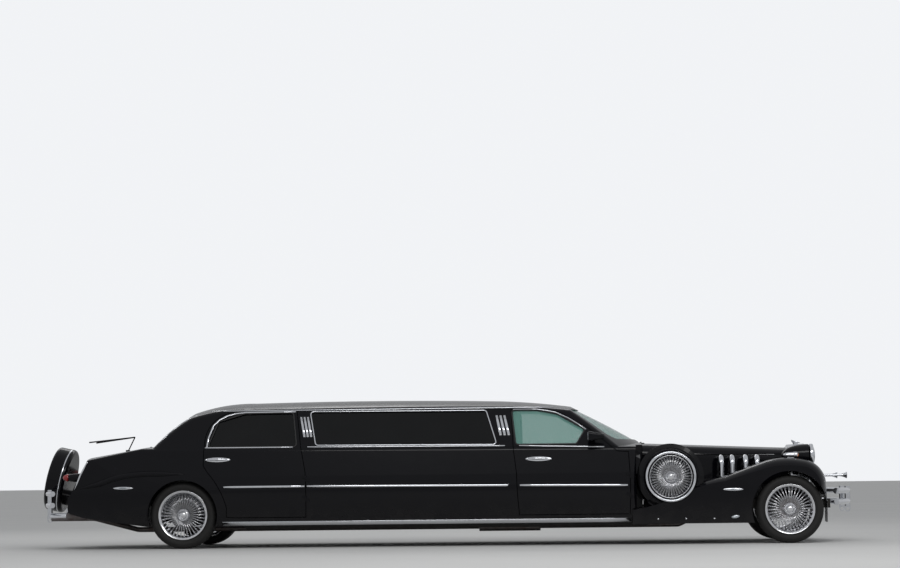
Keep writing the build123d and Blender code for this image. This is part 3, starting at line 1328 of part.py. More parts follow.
# Antenna on the boot lid: a mast with two arms swept back
with BuildPart() as boot_antenna:
    with BuildSketch(Plane.XY.offset(900)):
        with Locations((rear(-727), 0)):
            Circle(22)
    extrude(amount=108)
    top = Vector(rear(-653), 0, 1140)
    for end, radius in (
        (Vector(rear(-727), 0, 990), 6), (Vector(rear(-1096), 190, 1088), 7), (Vector(rear(-1096), -190, 1088), 7),
    ):
        with BuildSketch(Plane(origin=top, z_dir=end - top)):
            Circle(radius)
        extrude(amount=(end - top).length)
    add(lower_solid(0).moved(Location((0, 0, FOOT_GAP))), mode=Mode.SUBTRACT)
save(boot_antenna, "boot_antenna")

# Seats
with BuildPart() as seats:
    # Columns: half-open span along Y, seat base outline, seat back outline
    seat_foot = FLOOR_TOP + SEAT_GAP
    front_base = [(front(-2480), seat_foot), (front(-1980), seat_foot), (front(-1960), 520), (front(-2440), 470)]
    front_back = [(front(-2440), 470.4), (front(-2330), 481.9), (front(-2500), 1000), (front(-2590), 980)]
    rear_base = [(rear(580), seat_foot), (rear(945), seat_foot), (rear(955), 455), (rear(420), 510), (rear(340), 500)]
    rear_back = [(rear(420), 510.4), (rear(340), 500.4), (rear(120), 930), (rear(235), 960)]
    for y_from, y_to, outline in (
        (140, 640, front_base), (140, 640, front_back), (-640, -140, front_base), (-640, -140, front_back),
        (-640, 640, rear_base), (-640, 640, rear_back),
    ):
        with BuildSketch(Plane.XZ.offset(-y_to)):
            with BuildLine():
                Polyline(*outline, close=True)
            make_face()
        extrude(amount=y_to - y_from)
    with BuildSketch(Plane.YZ.offset(rear(1150))):
        with BuildLine():
            Polyline((430, seat_foot), (845, seat_foot), (860, 800), (770, 810), (730, 470), (430, 450), close=True)
        make_face()
    extrude(amount=1750)
    add(tunnel_block(FLOOR_SHEET + SEAT_GAP, 0), mode=Mode.SUBTRACT)
save(seats, "seats")

with BuildPart() as dashboard:
    with BuildSketch(Plane.XZ.offset(-DASH_HALF)):
        with BuildLine():
            Polyline((front(-1508), 960), (front(-1700), 965), (front(-1800), 900), (front(-1770), 700),
                     (front(-1508), 640), close=True)
        make_face()
    extrude(amount=2 * DASH_HALF)
    # Its ends stand back from the spares' recesses, and its top falls with the scuttle
    for side in (1, -1):
        with BuildSketch(Plane.XY.offset(600)):
            with Locations((front(-1600), side * 683)):
                Rectangle(200, 200, align=(Align.MIN, Align.MIN if side > 0 else Align.MAX))
        extrude(amount=500, mode=Mode.SUBTRACT)
        with BuildSketch(Plane.YZ.offset(front(-1810))):
            with BuildLine():
                Polyline((side * 430, 967), (side * (DASH_HALF + 2), 864), (side * (DASH_HALF + 2), 967),
                         close=True)
            make_face()
        extrude(amount=320, mode=Mode.SUBTRACT)
    wheel_plane = Plane(origin=(front(-1990), 390, 830), x_dir=(0, 1, 0),
                        z_dir=(-cos(radians(STEERING_TILT)), 0, sin(radians(STEERING_TILT))))
    with BuildSketch(wheel_plane):
        Circle(195)
        Circle(172, mode=Mode.SUBTRACT)
        Rectangle(360, 26)
        Circle(48)
    extrude(amount=22)
    with BuildSketch(wheel_plane):
        Circle(24)
    extrude(amount=-260)
save(dashboard, "dashboard")

with BuildPart() as partition:
    with BuildSketch(Plane.YZ.offset(front(-2705))):
        with BuildLine():
            Polyline((0, TUNNEL_TOP + FLOOR_SHEET + SEAT_GAP), (TUNNEL_FOOT + 15, TUNNEL_TOP + FLOOR_SHEET + SEAT_GAP),
                     (TUNNEL_FOOT + 15, seat_foot), (850, seat_foot), (862, 950), (612, 1325), (0, 1335))
            mirror(about=Plane.YZ)
        make_face()
        with Locations((0, 1140)):
            RectangleRounded(960, 280, 40, mode=Mode.SUBTRACT)
    extrude(amount=30)
save(partition, "partition")
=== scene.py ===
# %% [markdown]
# # A stretch limousine in a pre-war style
#
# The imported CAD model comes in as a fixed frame. Everything below dresses that frame: paint, glass, chrome,
# wire wheels, mouldings, lamps and seats. All lengths are metres, with the front of the car towards +X, its
# left side towards +Y and the ground at Z = 0.

# %% Load the frame
import json
import math

import bmesh
import bpy
from mathutils import Matrix, Vector
from mathutils.bvhtree import BVHTree


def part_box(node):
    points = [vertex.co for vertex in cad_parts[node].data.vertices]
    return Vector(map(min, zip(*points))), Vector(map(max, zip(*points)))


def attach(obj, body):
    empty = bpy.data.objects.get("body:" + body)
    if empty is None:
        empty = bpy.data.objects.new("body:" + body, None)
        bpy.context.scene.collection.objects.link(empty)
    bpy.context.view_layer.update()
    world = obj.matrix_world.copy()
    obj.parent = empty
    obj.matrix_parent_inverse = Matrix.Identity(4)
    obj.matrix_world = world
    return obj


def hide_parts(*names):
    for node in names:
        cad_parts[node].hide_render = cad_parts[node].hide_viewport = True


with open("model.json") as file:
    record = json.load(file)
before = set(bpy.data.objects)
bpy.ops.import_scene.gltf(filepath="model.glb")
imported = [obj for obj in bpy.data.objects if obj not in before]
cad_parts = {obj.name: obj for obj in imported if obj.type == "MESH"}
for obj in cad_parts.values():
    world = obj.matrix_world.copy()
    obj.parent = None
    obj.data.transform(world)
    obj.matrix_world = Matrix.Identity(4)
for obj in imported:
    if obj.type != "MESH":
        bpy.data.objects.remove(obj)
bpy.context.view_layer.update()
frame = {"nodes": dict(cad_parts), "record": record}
nodes = frame["nodes"]


def axle(wheel):
    """The middle of a wheel's box, as (x, z)."""
    low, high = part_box(wheel)
    return (low[0] + high[0]) / 2, (low[2] + high[2]) / 2


FRONT_AXLE, AXLE_HEIGHT = axle("wheel_front_left")
REAR_AXLE, _ = axle("wheel_rear_left")
WHEEL_Y = 0.818
SIGN = {"right": -1, "left": 1}
ENDS = {"front": FRONT_AXLE, "rear": REAR_AXLE}
print("axles at", round(REAR_AXLE, 3), round(FRONT_AXLE, 3), "nodes", len(nodes))


def front(x):
    """A place along the car measured in millimetres from the front axle."""
    return FRONT_AXLE + x / 1000


def rear(x):
    """A place along the car measured in millimetres from the rear axle."""
    return REAR_AXLE + x / 1000


def places(points, ends):
    """Turn (along, up) points in millimetres into (x, z) in metres.

    The letters say which axle each point is measured from, f or r; one letter stands for them all.
    """
    letters = ends * len(points) if len(ends) == 1 else ends
    return [((front if letter == "f" else rear)(x), z / 1000) for (x, z), letter in zip(points, letters)]


# %% [markdown]
# ## The camera
#
# A long lens stands 25 m off the right side at knee height and looks slightly up. Its place and turn were
# worked out from the wheels, the sill and the roof line, so a matrix sets the camera.

# %% Camera
YAW, PITCH, ROLL = -0.0521, 0.0814, -0.0112
CAMERA_PLACE = (rear(3956.6), -24.898, 0.661)
LENS, SENSOR, FAR_CLIP = 96, 36, 400

forward = Vector((math.sin(YAW) * math.cos(PITCH), math.cos(YAW) * math.cos(PITCH), math.sin(PITCH)))
level = Vector((math.cos(YAW), -math.sin(YAW), 0))
upward = level.cross(forward)
across = level * math.cos(ROLL) + upward * math.sin(ROLL)
upright = upward * math.cos(ROLL) - level * math.sin(ROLL)

camera_data = bpy.data.cameras.new("camera")
camera_data.lens = LENS
camera_data.sensor_width = SENSOR
camera_data.clip_end = FAR_CLIP
camera = bpy.data.objects.new("camera", camera_data)
bpy.context.collection.objects.link(camera)
turn = Matrix((across, upright, -forward)).transposed().to_4x4()
camera.matrix_world = Matrix.Translation(CAMERA_PLACE) @ turn
bpy.context.scene.camera = camera
bpy.context.scene.view_settings.view_transform = "Standard"
print("camera at", tuple(round(c, 2) for c in camera.location))

# %% [markdown]
# ## Shader maths
#
# Node trees get long when each Math node is made by hand. A thin class around a socket lets the maths be
# written as plain Python: `1 - mask * 0.5` adds a Multiply and a Subtract node. Colours go through Mix nodes,
# because a Math node would turn them grey.

# %% A socket that can do sums


class Wire:
    """One output socket, with Python's operators for the Math nodes."""

    def __init__(self, finish, socket):
        self.finish = finish
        self.socket = socket

    def _sum(self, operation, first, second):
        return self.finish.node("ShaderNodeMath", {"operation": operation}, {0: first, 1: second})[0]

    def __add__(self, other):
        return self._sum("ADD", self, other)

    __radd__ = __add__

    def __mul__(self, other):
        return self._sum("MULTIPLY", self, other)

    __rmul__ = __mul__

    def __rsub__(self, other):
        return self._sum("SUBTRACT", other, self)

    def __truediv__(self, other):
        return self._sum("DIVIDE", self, other)

    def __pow__(self, other):
        return self._sum("POWER", self, other)

    def clamp(self, least, most):
        return self._sum("MINIMUM", self._sum("MAXIMUM", self, least), most)


class Finish:
    """A material under construction."""

    def __init__(self, name, **surface):
        self.material = bpy.data.materials.new(name)
        self.material.use_nodes = True
        self.tree = self.material.node_tree
        self.surface = self.tree.nodes["Principled BSDF"]
        for label, value in surface.items():
            self.set(label.replace("_", " "), value)

    def node(self, kind, settings=None, values=None):
        """Add a node, set its options, fill its inputs by name or number, and give its outputs."""
        made = self.tree.nodes.new(kind)
        for label, value in (settings or {}).items():
            setattr(made, label, value)
        for key, value in (values or {}).items():
            self.plug(made.inputs[key], value)
        return [Wire(self, socket) for socket in made.outputs]

    def plug(self, socket, value):
        """Link a wire to a socket, or give the socket a plain value."""
        if isinstance(value, Wire):
            self.tree.links.new(value.socket, socket)
        else:
            socket.default_value = value

    def set(self, label, value):
        """Fill an input of the surface, found by its name in any case."""
        self.plug(next(s for s in self.surface.inputs if s.name.lower() == label.lower()), value)

    def place(self):
        """The shaded point in its object's own axes."""
        return Wire(self, self.tree.nodes.new("ShaderNodeTexCoord").outputs["Object"])

    def height(self):
        """Height above the ground."""
        point = Wire(self, self.tree.nodes.new("ShaderNodeNewGeometry").outputs["Position"])
        return self.node("ShaderNodeSeparateXYZ", None, {0: point})[2]

    def noise(self, scale, detail):
        """A soft random pattern."""
        values = {"Vector": self.place(), "Scale": scale, "Detail": detail}
        return self.node("ShaderNodeTexNoise", None, values)[0]

    def flutes(self, direction, scale):
        """Even ribs that follow each other along one axis."""
        settings = {"wave_type": "BANDS", "bands_direction": direction}
        return self.node("ShaderNodeTexWave", settings, {"Vector": self.place(), "Scale": scale})[1]

    def tint(self, amount, first, second):
        """A colour between two others."""
        return self.node("ShaderNodeMix", {"data_type": "RGBA"}, {0: amount, 6: first, 7: second})[2]

    def bump(self, height, strength, distance):
        """Tilt the surface's normal by a pattern."""
        values = {"Height": height, "Strength": strength, "Distance": distance}
        self.set("Normal", self.node("ShaderNodeBump", None, values)[0])

    def vary(self, pattern, first, second, roughness, spread, bump=None):
        """Drive the colour, the roughness and, where given, a (strength, distance) bump by one pattern."""
        self.set("Base Color", self.tint(pattern, first, second))
        self.set("Roughness", roughness + pattern * spread)
        if bump:
            self.bump(pattern, *bump)


# %% [markdown]
# ## Paint
#
# The body is deep black under clear lacquer. Real lacquer isn't a mirror: it has a faint ripple called orange
# peel, and dust from the road dulls it towards the sills. A fine noise drives the bump for the ripple, and the
# height above the ground drives the dust.

# %% Black paint
DUST_TOP, DUST_DEPTH = 0.62, 0.55

black_paint = Finish("black_paint", coat_weight=0.2, coat_roughness=0.03, specular_ior_level=0.12)
speck = black_paint.noise(9, 6)
dust = ((DUST_TOP - black_paint.height()) / DUST_DEPTH).clamp(0, 1) ** 2 * speck
dusted = (dust * 0.4).clamp(0, 0.3)
black_paint.set("Base Color", black_paint.tint(dusted, (0.0025, 0.0025, 0.004, 1), (0.07, 0.065, 0.06, 1)))
black_paint.set("Roughness", 0.16 + dust * 0.5 + speck * 0.05)
black_paint.bump(black_paint.noise(70, 1), 0.02, 0.002)

black_gloss = Finish("black_gloss", coat_weight=0.2, specular_ior_level=0.16)
black_gloss.set("Base Color", (0.003, 0.003, 0.004, 1))
black_gloss.set("Roughness", 0.2 + black_gloss.noise(40, 4) * 0.1)

# %% [markdown]
# ## Metal, rubber, leather and glass
#
# Most of these are two tints of one colour with a pattern between them, and the same pattern changes the
# roughness where the surface is dirty or worn. The lenses use even ribs as their pattern, and the tyres and
# seats have a finer one of their own for the bump.

# %% Chrome, glass and the rest
chassis_paint = Finish("chassis_paint", specular_ior_level=0.4)
chassis_paint.vary(chassis_paint.noise(14, 8), (0.012, 0.012, 0.013, 1), (0.06, 0.055, 0.05, 1),
                   0.45, 0.35, bump=(0.15, 0.004))

chrome = Finish("chrome", metallic=1.0)
chrome.vary(chrome.noise(26, 5), (0.84, 0.85, 0.88, 1), (0.72, 0.74, 0.78, 1), 0.05, 0.07, bump=(0.02, 0.001))

wire_chrome = Finish("wire_chrome", metallic=1.0)
wire_chrome.vary(wire_chrome.noise(30, 7) * 0.3, (0.82, 0.83, 0.86, 1), (0.45, 0.43, 0.41, 1), 0.09, 0.4)

steel = Finish("bare_steel", metallic=0.9)
steel.vary(steel.noise(18, 9), (0.22, 0.22, 0.23, 1), (0.13, 0.09, 0.07, 1), 0.35, 0.4, bump=(0.2, 0.002))

iron = Finish("cast_iron", metallic=0.6)
iron.vary(iron.noise(60, 6), (0.07, 0.07, 0.075, 1), (0.03, 0.028, 0.026, 1), 0.55, 0.3, bump=(0.4, 0.002))

clear_glass = Finish("clear_glass", ior=1.5, specular_ior_level=0.6, base_color=(0.20, 0.44, 0.38, 1))
haze = clear_glass.noise(5, 5)
clear_glass.set("Roughness", 0.02 + haze * 0.04)
clear_glass.set("Alpha", 0.40 + haze * 0.06)

dark_glass = Finish("dark_glass", specular_ior_level=0.22, coat_weight=0.15, coat_roughness=0.02)
film = dark_glass.noise(4, 4)
dark_glass.vary(film, (0.001, 0.0012, 0.0015, 1), (0.003, 0.0035, 0.004, 1), 0.03, 0.03)
dark_glass.set("Alpha", 0.93 + film * 0.05)

leather = Finish("seat_leather", specular_ior_level=0.45)
leather.vary(leather.noise(7, 5), (0.055, 0.045, 0.038, 1), (0.10, 0.085, 0.07, 1), 0.5, -0.15)
pebble = leather.node("ShaderNodeTexVoronoi", None, {"Vector": leather.place(), "Scale": 260.0})[0]
leather.bump(pebble, 0.25, 0.001)

trim_plastic = Finish("trim_plastic", specular_ior_level=0.35)
trim_plastic.vary(trim_plastic.noise(320, 2), (0.020, 0.020, 0.021, 1), (0.035, 0.034, 0.034, 1),
                  0.55, 0.15, bump=(0.3, 0.0006))

rubber = Finish("tyre_rubber", specular_ior_level=0.35)
rubber.vary(rubber.noise(22, 7), (0.006, 0.006, 0.006, 1), (0.020, 0.019, 0.018, 1), 0.55, 0.25)
rubber.bump(rubber.noise(240, 2), 0.15, 0.0008)

red_lens = Finish("red_lens", ior=1.49, coat_weight=0.8, coat_roughness=0.03)
red_lens.vary(red_lens.flutes("Z", 30), (0.42, 0.008, 0.010, 1), (0.20, 0.004, 0.005, 1),
              0.12, 0.05, bump=(0.3, 0.002))

amber_lens = Finish("amber_lens", ior=1.49, coat_weight=0.8, coat_roughness=0.03)
amber_lens.vary(amber_lens.flutes("Y", 60), (0.72, 0.20, 0.01, 1), (0.45, 0.10, 0.005, 1), 0.12, 0.06)

lamp_glass = Finish("lamp_glass", ior=1.5, coat_weight=0.8, coat_roughness=0.02)
fluting = lamp_glass.flutes("Y", 34)
lamp_glass.vary(fluting, (0.62, 0.66, 0.70, 1), (0.30, 0.33, 0.36, 1), 0.07, 0.06, bump=(0.25, 0.002))
lamp_glass.set("Metallic", 0.55 + fluting * 0.2)
print("finishes", len(bpy.data.materials))

# %% [markdown]
# ## Giving each CAD node its finish
#
# A node whose shape is right stays as it is and only gets a better material. The record already names a slot
# for each node, so a short table from slot to finish dresses the whole frame at once. A few nodes look better
# in another finish, and they have a table of their own.

# %% Dress the frame
finish_of_slot = {
    "body_paint": black_paint, "clear_glass": clear_glass, "dark_glass": dark_glass, "chrome": chrome,
    "wire_chrome": wire_chrome, "red_lens": red_lens, "tyre_rubber": rubber, "bare_steel": steel,
    "cast_iron": iron, "chassis_paint": chassis_paint, "seat_leather": leather, "trim_plastic": trim_plastic,
}
finish_of_node = {"spare_tyres": black_gloss, "headlamps": black_paint, "tail_lamps": black_paint}
slot_of_finish = {finish: slot for slot, finish in finish_of_slot.items()}
slot_of_finish |= {black_gloss: "body_paint", lamp_glass: "clear_glass", amber_lens: "clear_glass"}
slot_of_node = {part["node"]: part["material_slot"] for part in frame["record"]["subparts"]}
for name, node in nodes.items():
    finish = finish_of_node.get(name, finish_of_slot[slot_of_node[name]])
    for slot in node.material_slots:
        slot.material = finish.material
print("dressed", len(nodes), "nodes")

# %% [markdown]
# ## The studio
#
# A pale floor that runs far back, a sky that is white to the camera, and two very large soft lamps. Black
# lacquer shows nothing but what it reflects, so the lamps are long panels: each leaves one calm streak along
# the shoulder instead of a spot. The sky is dimmer as a light than it is to the eye.

# %% Floor, sky and lamps
FLOOR_REACH, FLOOR_DEPTH = 150, 250
SKY_AS_LIGHT, SKY_AS_SEEN = 0.48, 0.92

floor_finish = Finish("pale_floor", roughness=0.75, specular_ior_level=0.2)
cloudy = floor_finish.noise(0.4, 3)
floor_finish.set("Base Color", floor_finish.tint(cloudy, (0.60, 0.60, 0.59, 1), (0.68, 0.68, 0.67, 1)))
floor_mesh = bpy.data.meshes.new("floor")
floor_corners = [(-FLOOR_REACH, -FLOOR_REACH, 0), (FLOOR_REACH, -FLOOR_REACH, 0),
                 (FLOOR_REACH, FLOOR_DEPTH, 0), (-FLOOR_REACH, FLOOR_DEPTH, 0)]
floor_mesh.from_pydata(floor_corners, [], [(0, 1, 2, 3)])
floor = bpy.data.objects.new("floor", floor_mesh)
floor.data.materials.append(floor_finish.material)
bpy.context.collection.objects.link(floor)

world = bpy.data.worlds.new("studio")
bpy.context.scene.world = world
world.use_nodes = True
sky = world.node_tree
light_path = sky.nodes.new("ShaderNodeLightPath")
seen = sky.nodes.new("ShaderNodeMath")
seen.operation = "MAXIMUM"
sky.links.new(light_path.outputs["Is Camera Ray"], seen.inputs[0])
sky.links.new(light_path.outputs["Is Transmission Ray"], seen.inputs[1])
strength = sky.nodes.new("ShaderNodeMapRange")
sky.links.new(seen.outputs[0], strength.inputs["Value"])
strength.inputs["To Min"].default_value = SKY_AS_LIGHT
strength.inputs["To Max"].default_value = SKY_AS_SEEN
background = sky.nodes["Background"]
background.inputs["Color"].default_value = (0.96, 0.975, 1.0, 1)
sky.links.new(strength.outputs[0], background.inputs["Strength"])

for name, place, aim, size, power in (
    ("key", (3, -9, 7.5), (0, 0, 0.6), (11, 2.5), 420),
    ("rim", (-2, 8, 6.5), (0, 0, 0.9), (11, 2), 120),
):
    data = bpy.data.lights.new(name, "AREA")
    data.shape = "RECTANGLE"
    data.size, data.size_y = size
    data.energy = power
    lamp = bpy.data.objects.new(name, data)
    lamp.location = place
    lamp.rotation_euler = (Vector(aim) - Vector(place)).to_track_quat("-Z", "Y").to_euler()
    bpy.context.collection.objects.link(lamp)
print("studio ready")

# %% [markdown]
# ## Small makers
#
# Most trim on a car is one of three things: something turned on a lathe, a strip that follows the skin, or a
# plate. `ring_of` spins a profile, `lace` joins rings of points into a tube, `block` is a plate with softened
# edges, and `keep` turns what they made into a piece that rides on a body.

# %% Makers
TINY = 0.0004


def keep(name, bm, finish, body="body"):
    """Turn a bmesh into a smooth piece with outward normals that rides on a body."""
    bmesh.ops.recalc_face_normals(bm, faces=bm.faces)
    mesh = bpy.data.meshes.new(name)
    bm.to_mesh(mesh)
    bm.free()
    mesh.materials.append(finish.material)
    for face in mesh.polygons:
        face.use_smooth = True
    made = bpy.data.objects.new(name, mesh)
    bpy.context.collection.objects.link(made)
    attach(made, body)
    return made


def ring_of(bm, profile, centre, segments, axis="Y", closed=True):
    """Spin a profile of (radius, along) about an axis through a point, and give its rows of points."""
    rows = []
    for k in range(segments):
        angle = 2 * math.pi * k / segments
        row = []
        for radius, along in profile:
            a, b = radius * math.cos(angle), radius * math.sin(angle)
            place = {"Y": (a, along, b), "X": (along, a, b)}[axis]
            row.append(bm.verts.new(Vector(centre) + Vector(place)))
        rows.append(row)
    last = len(profile) if closed else len(profile) - 1
    for this, after in zip(rows, rows[1:] + rows[:1]):
        for i in range(last):
            j = (i + 1) % len(profile)
            bm.faces.new((this[i], after[i], after[j], this[j]))
    return rows


def capped(bm, rows, end):
    """Close one end of a spun profile, 0 for its first row and -1 for its last."""
    bm.faces.new([row[end] for row in rows])


def turned(name, profile, centre, finish):
    """A lathe piece about an axis along X; the first and last rows may sit on the axis."""
    bm = bmesh.new()
    open_profile = [(max(radius, TINY), along) for radius, along in profile]
    rows = ring_of(bm, open_profile, centre, 56, "X", closed=False)
    capped(bm, rows, 0)
    capped(bm, rows, -1)
    return keep(name, bm, finish)


def lace(bm, rings, whole=False):
    """Join rings of points with faces; the two ends are closed, or joined to each other when it is whole."""
    count = len(rings[0])
    for a, b in zip(rings, rings[1:] + rings[:1] if whole else rings[1:]):
        for i in range(count):
            j = (i + 1) % count
            bm.faces.new((a[i], a[j], b[j], b[i]))
    if not whole:
        bm.faces.new(rings[0])
        bm.faces.new(rings[-1])


def rod(bm, start, end, radius, sides=5):
    """A thin straight rod between two points."""
    start, end = Vector(start), Vector(end)
    along = (end - start).normalized()
    side = along.orthogonal().normalized()
    other = along.cross(side)
    angles = [2 * math.pi * k / sides for k in range(sides)]
    offsets = [side * radius * math.cos(a) + other * radius * math.sin(a) for a in angles]
    lace(bm, [[bm.verts.new(centre + offset) for offset in offsets] for centre in (start, end)])


def block(bm, centre, size, round_by, turn=Matrix.Identity(4)):
    """A box with softened edges."""
    matrix = Matrix.Translation(centre) @ turn @ Matrix.Diagonal((*size, 1))
    corners = bmesh.ops.create_cube(bm, size=1, matrix=matrix)["verts"]
    edges = list(dict.fromkeys(edge for corner in corners for edge in corner.link_edges))
    bmesh.ops.bevel(bm, geom=edges, offset=round_by, segments=3, affect="EDGES", profile=0.5)


# %% [markdown]
# ## Strips that follow the skin
#
# `side_strip` walks along a route beside the car and shoots a level ray at the panel from each step. The panel
# gives the strip its place and says which way it faces, so the strip bends with the body. A jump in or out, or
# a ray that finds nothing, ends one run of the strip.

# %% Rays and strips
FAR_OUT = 3
STRIP_SINK, STRIP_SHOULDER = 0.001, 0.45
JUMP, JUMP_PER_STEP = 0.015, 1.3
trees = {}


def node_of(panel, side):
    """The node of a panel on one side; only the doors have one node for each side."""
    return f"{panel}_{side}" if panel.startswith("door") else panel


def body_of(panel, side):
    """The body that a panel's trim rides on."""
    return node_of(panel, side) if panel.startswith("door") else "body"


def tree_of(name):
    """A search tree over the mesh of a node."""
    if name not in trees:
        mesh = nodes[name].data
        verts = [vert.co.copy() for vert in mesh.vertices]
        trees[name] = BVHTree.FromPolygons(verts, [list(face.vertices) for face in mesh.polygons])
    return trees[name]


def on_skin(panel, side, x, z):
    """The point and outward normal where a level ray from outside meets a panel, or None."""
    s = SIGN[side]
    tree = tree_of(node_of(panel, side))
    place, normal, _, _ = tree.ray_cast(Vector((x, s * FAR_OUT, z)), Vector((0, -s, 0)))
    if place is None:
        return None
    return place, (-normal if normal.y * s < 0 else normal)


def steps_along(route, closed, step):
    """Even places along a route of (x, z) corners."""
    corners = route + route[:1] if closed else route
    samples = []
    for (xa, za), (xb, zb) in zip(corners, corners[1:]):
        count = max(1, int(math.hypot(xb - xa, zb - za) / step))
        samples += [(xa + (xb - xa) * i / count, za + (zb - za) * i / count) for i in range(count)]
    return samples if closed else samples + corners[-1:]


def runs_of(hits):
    """Cut a row of hits where a ray found nothing or the skin jumps in or out."""
    runs, run = [], []
    for hit in hits:
        step_on = math.hypot(hit[0].x - run[-1][0].x, hit[0].z - run[-1][0].z) if hit and run else 0
        if hit and (not run or abs(hit[0].y - run[-1][0].y) < JUMP + JUMP_PER_STEP * step_on):
            run.append(hit)
        else:
            runs.append(run)
            run = [hit] if hit else []
    return [kept for kept in runs + [run] if len(kept) > 1]


def side_strip(label, side, panel, route, width, proud, finish, closed=False, step=0.12, edge=0.25, fade=0):
    """A half-round strip on the skin along a route of (x, z) corners.

    Edge is where its top begins to bend down, as a share of the width from its middle line. With fade, each
    end narrows over that many steps.
    """
    samples = steps_along(route, closed, step)
    runs = runs_of([on_skin(panel, side, x, z) for x, z in samples])
    whole = closed and len(runs) == 1 and len(runs[0]) == len(samples)
    low = proud * STRIP_SHOULDER
    section = ((-0.5, -STRIP_SINK), (-0.5, low), (-edge, proud), (edge, proud), (0.5, low), (0.5, -STRIP_SINK))
    bm = bmesh.new()
    for run in runs:
        rings = []
        count = len(run)
        for i, (place, normal) in enumerate(run):
            before = run[i - 1][0] if i or whole else place
            after = run[(i + 1) % count][0] if i < count - 1 or whole else place
            along = (after - before).normalized()
            over = along.cross(normal).normalized()
            size = min(1, (i + 0.3) / fade, (count - i - 0.7) / fade) if fade else 1
            ring = []
            for share, lift in section:
                raised = lift if lift < 0 else lift * size
                ring.append(bm.verts.new(place + over * width * size * share + normal * raised))
            rings.append(ring)
        lace(bm, rings, whole)
    return keep(f"{label}_{side}", bm, finish, body_of(panel, side))


print("makers ready")

# %% [markdown]
# ## Wire wheels
#
# A wire wheel carries the car on steel wires in two layers. The outer layer runs from the hub's front flange
# to the rim's outer edge, the inner layer from the back flange to the well. Wires alternate in lean, so they
# cross. Five flat sides look round at this size, which keeps the piece light. A knock-off nut with two ears
# closes the hub.

# %% One wire wheel
RIM_R, RIM_HALF, HUB_FACE = 0.246, 0.1045, 0.117
RIM_SEGMENTS, HUB_SEGMENTS = 72, 40
WHEEL_WIRES, WIRE_R = 72, 0.0019
LEAN_SHARE = 0.45
EAR_ANGLE = 0.35

rim_profile = [
    (RIM_R, RIM_HALF), (RIM_R - 0.004, RIM_HALF - 0.003), (RIM_R - 0.020, RIM_HALF - 0.006),
    (RIM_R - 0.025, RIM_HALF - 0.030), (RIM_R - 0.030, RIM_HALF - 0.040), (RIM_R - 0.040, 0.012),
    (RIM_R - 0.040, -0.030), (RIM_R - 0.020, -RIM_HALF + 0.020), (RIM_R, -RIM_HALF),
    (RIM_R - 0.003, -RIM_HALF + 0.012), (RIM_R - 0.026, -0.050), (RIM_R - 0.034, 0.030),
    (RIM_R - 0.014, RIM_HALF - 0.030), (RIM_R - 0.003, RIM_HALF - 0.014),
]
hub_profile = [
    (0.0005, HUB_FACE), (0.012, HUB_FACE - 0.001), (0.026, HUB_FACE - 0.006), (0.034, HUB_FACE - 0.014),
    (0.036, HUB_FACE - 0.022), (0.048, HUB_FACE - 0.026), (0.056, HUB_FACE - 0.034), (0.056, HUB_FACE - 0.040),
    (0.040, HUB_FACE - 0.046), (0.036, 0.040), (0.062, 0.020), (0.062, 0.012), (0.046, 0.006), (0.046, -0.02),
    (0.0005, -0.02),
]
# A layer has its radius and place along the axis on the hub, the same on the rim, the lean and the first step.
wire_layers = (
    (0.054, HUB_FACE - 0.036, RIM_R - 0.022, RIM_HALF - 0.034, 0.34, 0.0),
    (0.060, 0.016, RIM_R - 0.036, 0.016, 0.52, 0.5),
)


def wire_wheel(end, side):
    """A chrome wire wheel about an axis along Y."""
    s = SIGN[side]
    centre = Vector((ENDS[end], s * WHEEL_Y, AXLE_HEIGHT))
    body = f"wheel_{end}_{side}"
    bm = bmesh.new()
    ring_of(bm, [(radius, s * along) for radius, along in rim_profile], centre, RIM_SEGMENTS)
    ring_of(bm, [(radius, s * along) for radius, along in hub_profile], centre, HUB_SEGMENTS, closed=False)
    for hub_r, hub_a, rim_r, rim_a, lean, share in wire_layers:
        for k in range(WHEEL_WIRES):
            base = 2 * math.pi * (k + share) / WHEEL_WIRES
            swung = base + (lean if k % 2 else -lean) * LEAN_SHARE
            start = Vector((hub_r * math.cos(base), s * hub_a, hub_r * math.sin(base)))
            stop = Vector((rim_r * math.cos(swung), s * rim_a, rim_r * math.sin(swung)))
            rod(bm, centre + start, centre + stop, WIRE_R)
    for ear in (EAR_ANGLE, EAR_ANGLE + math.pi):
        for reach in (0.018, 0.030, 0.040):
            spot = centre + Vector((reach * math.cos(ear), s * (HUB_FACE - 0.020), reach * math.sin(ear)))
            block(bm, spot, (0.014, 0.010, 0.016 - reach * 0.1), 0.003, Matrix.Rotation(-ear, 4, "Y"))
    made = keep(f"wire_wheel_{end}_{side}", bm, wire_chrome, body)
    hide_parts(f"wheel_{end}_{side}")


for side in SIGN:
    for end in ENDS:
        wire_wheel(end, side)
print("wire wheels built")

# %% [markdown]
# ## Tyres
#
# The solid tyre is a plain ring, so a turned one stands in for it: rounded shoulders, four grooves around the
# tread and a fine rib on the wall. The cross cuts in the shoulders are small notches, made by pulling three
# points of every fourth row inwards on each side.

# %% Tyres
BEAD = 0.2475
TYRE_SEGMENTS, CUT_EVERY, CUT_DEPTH = 160, 4, 0.006
SHOULDER_POINTS = (8, 9, 10)


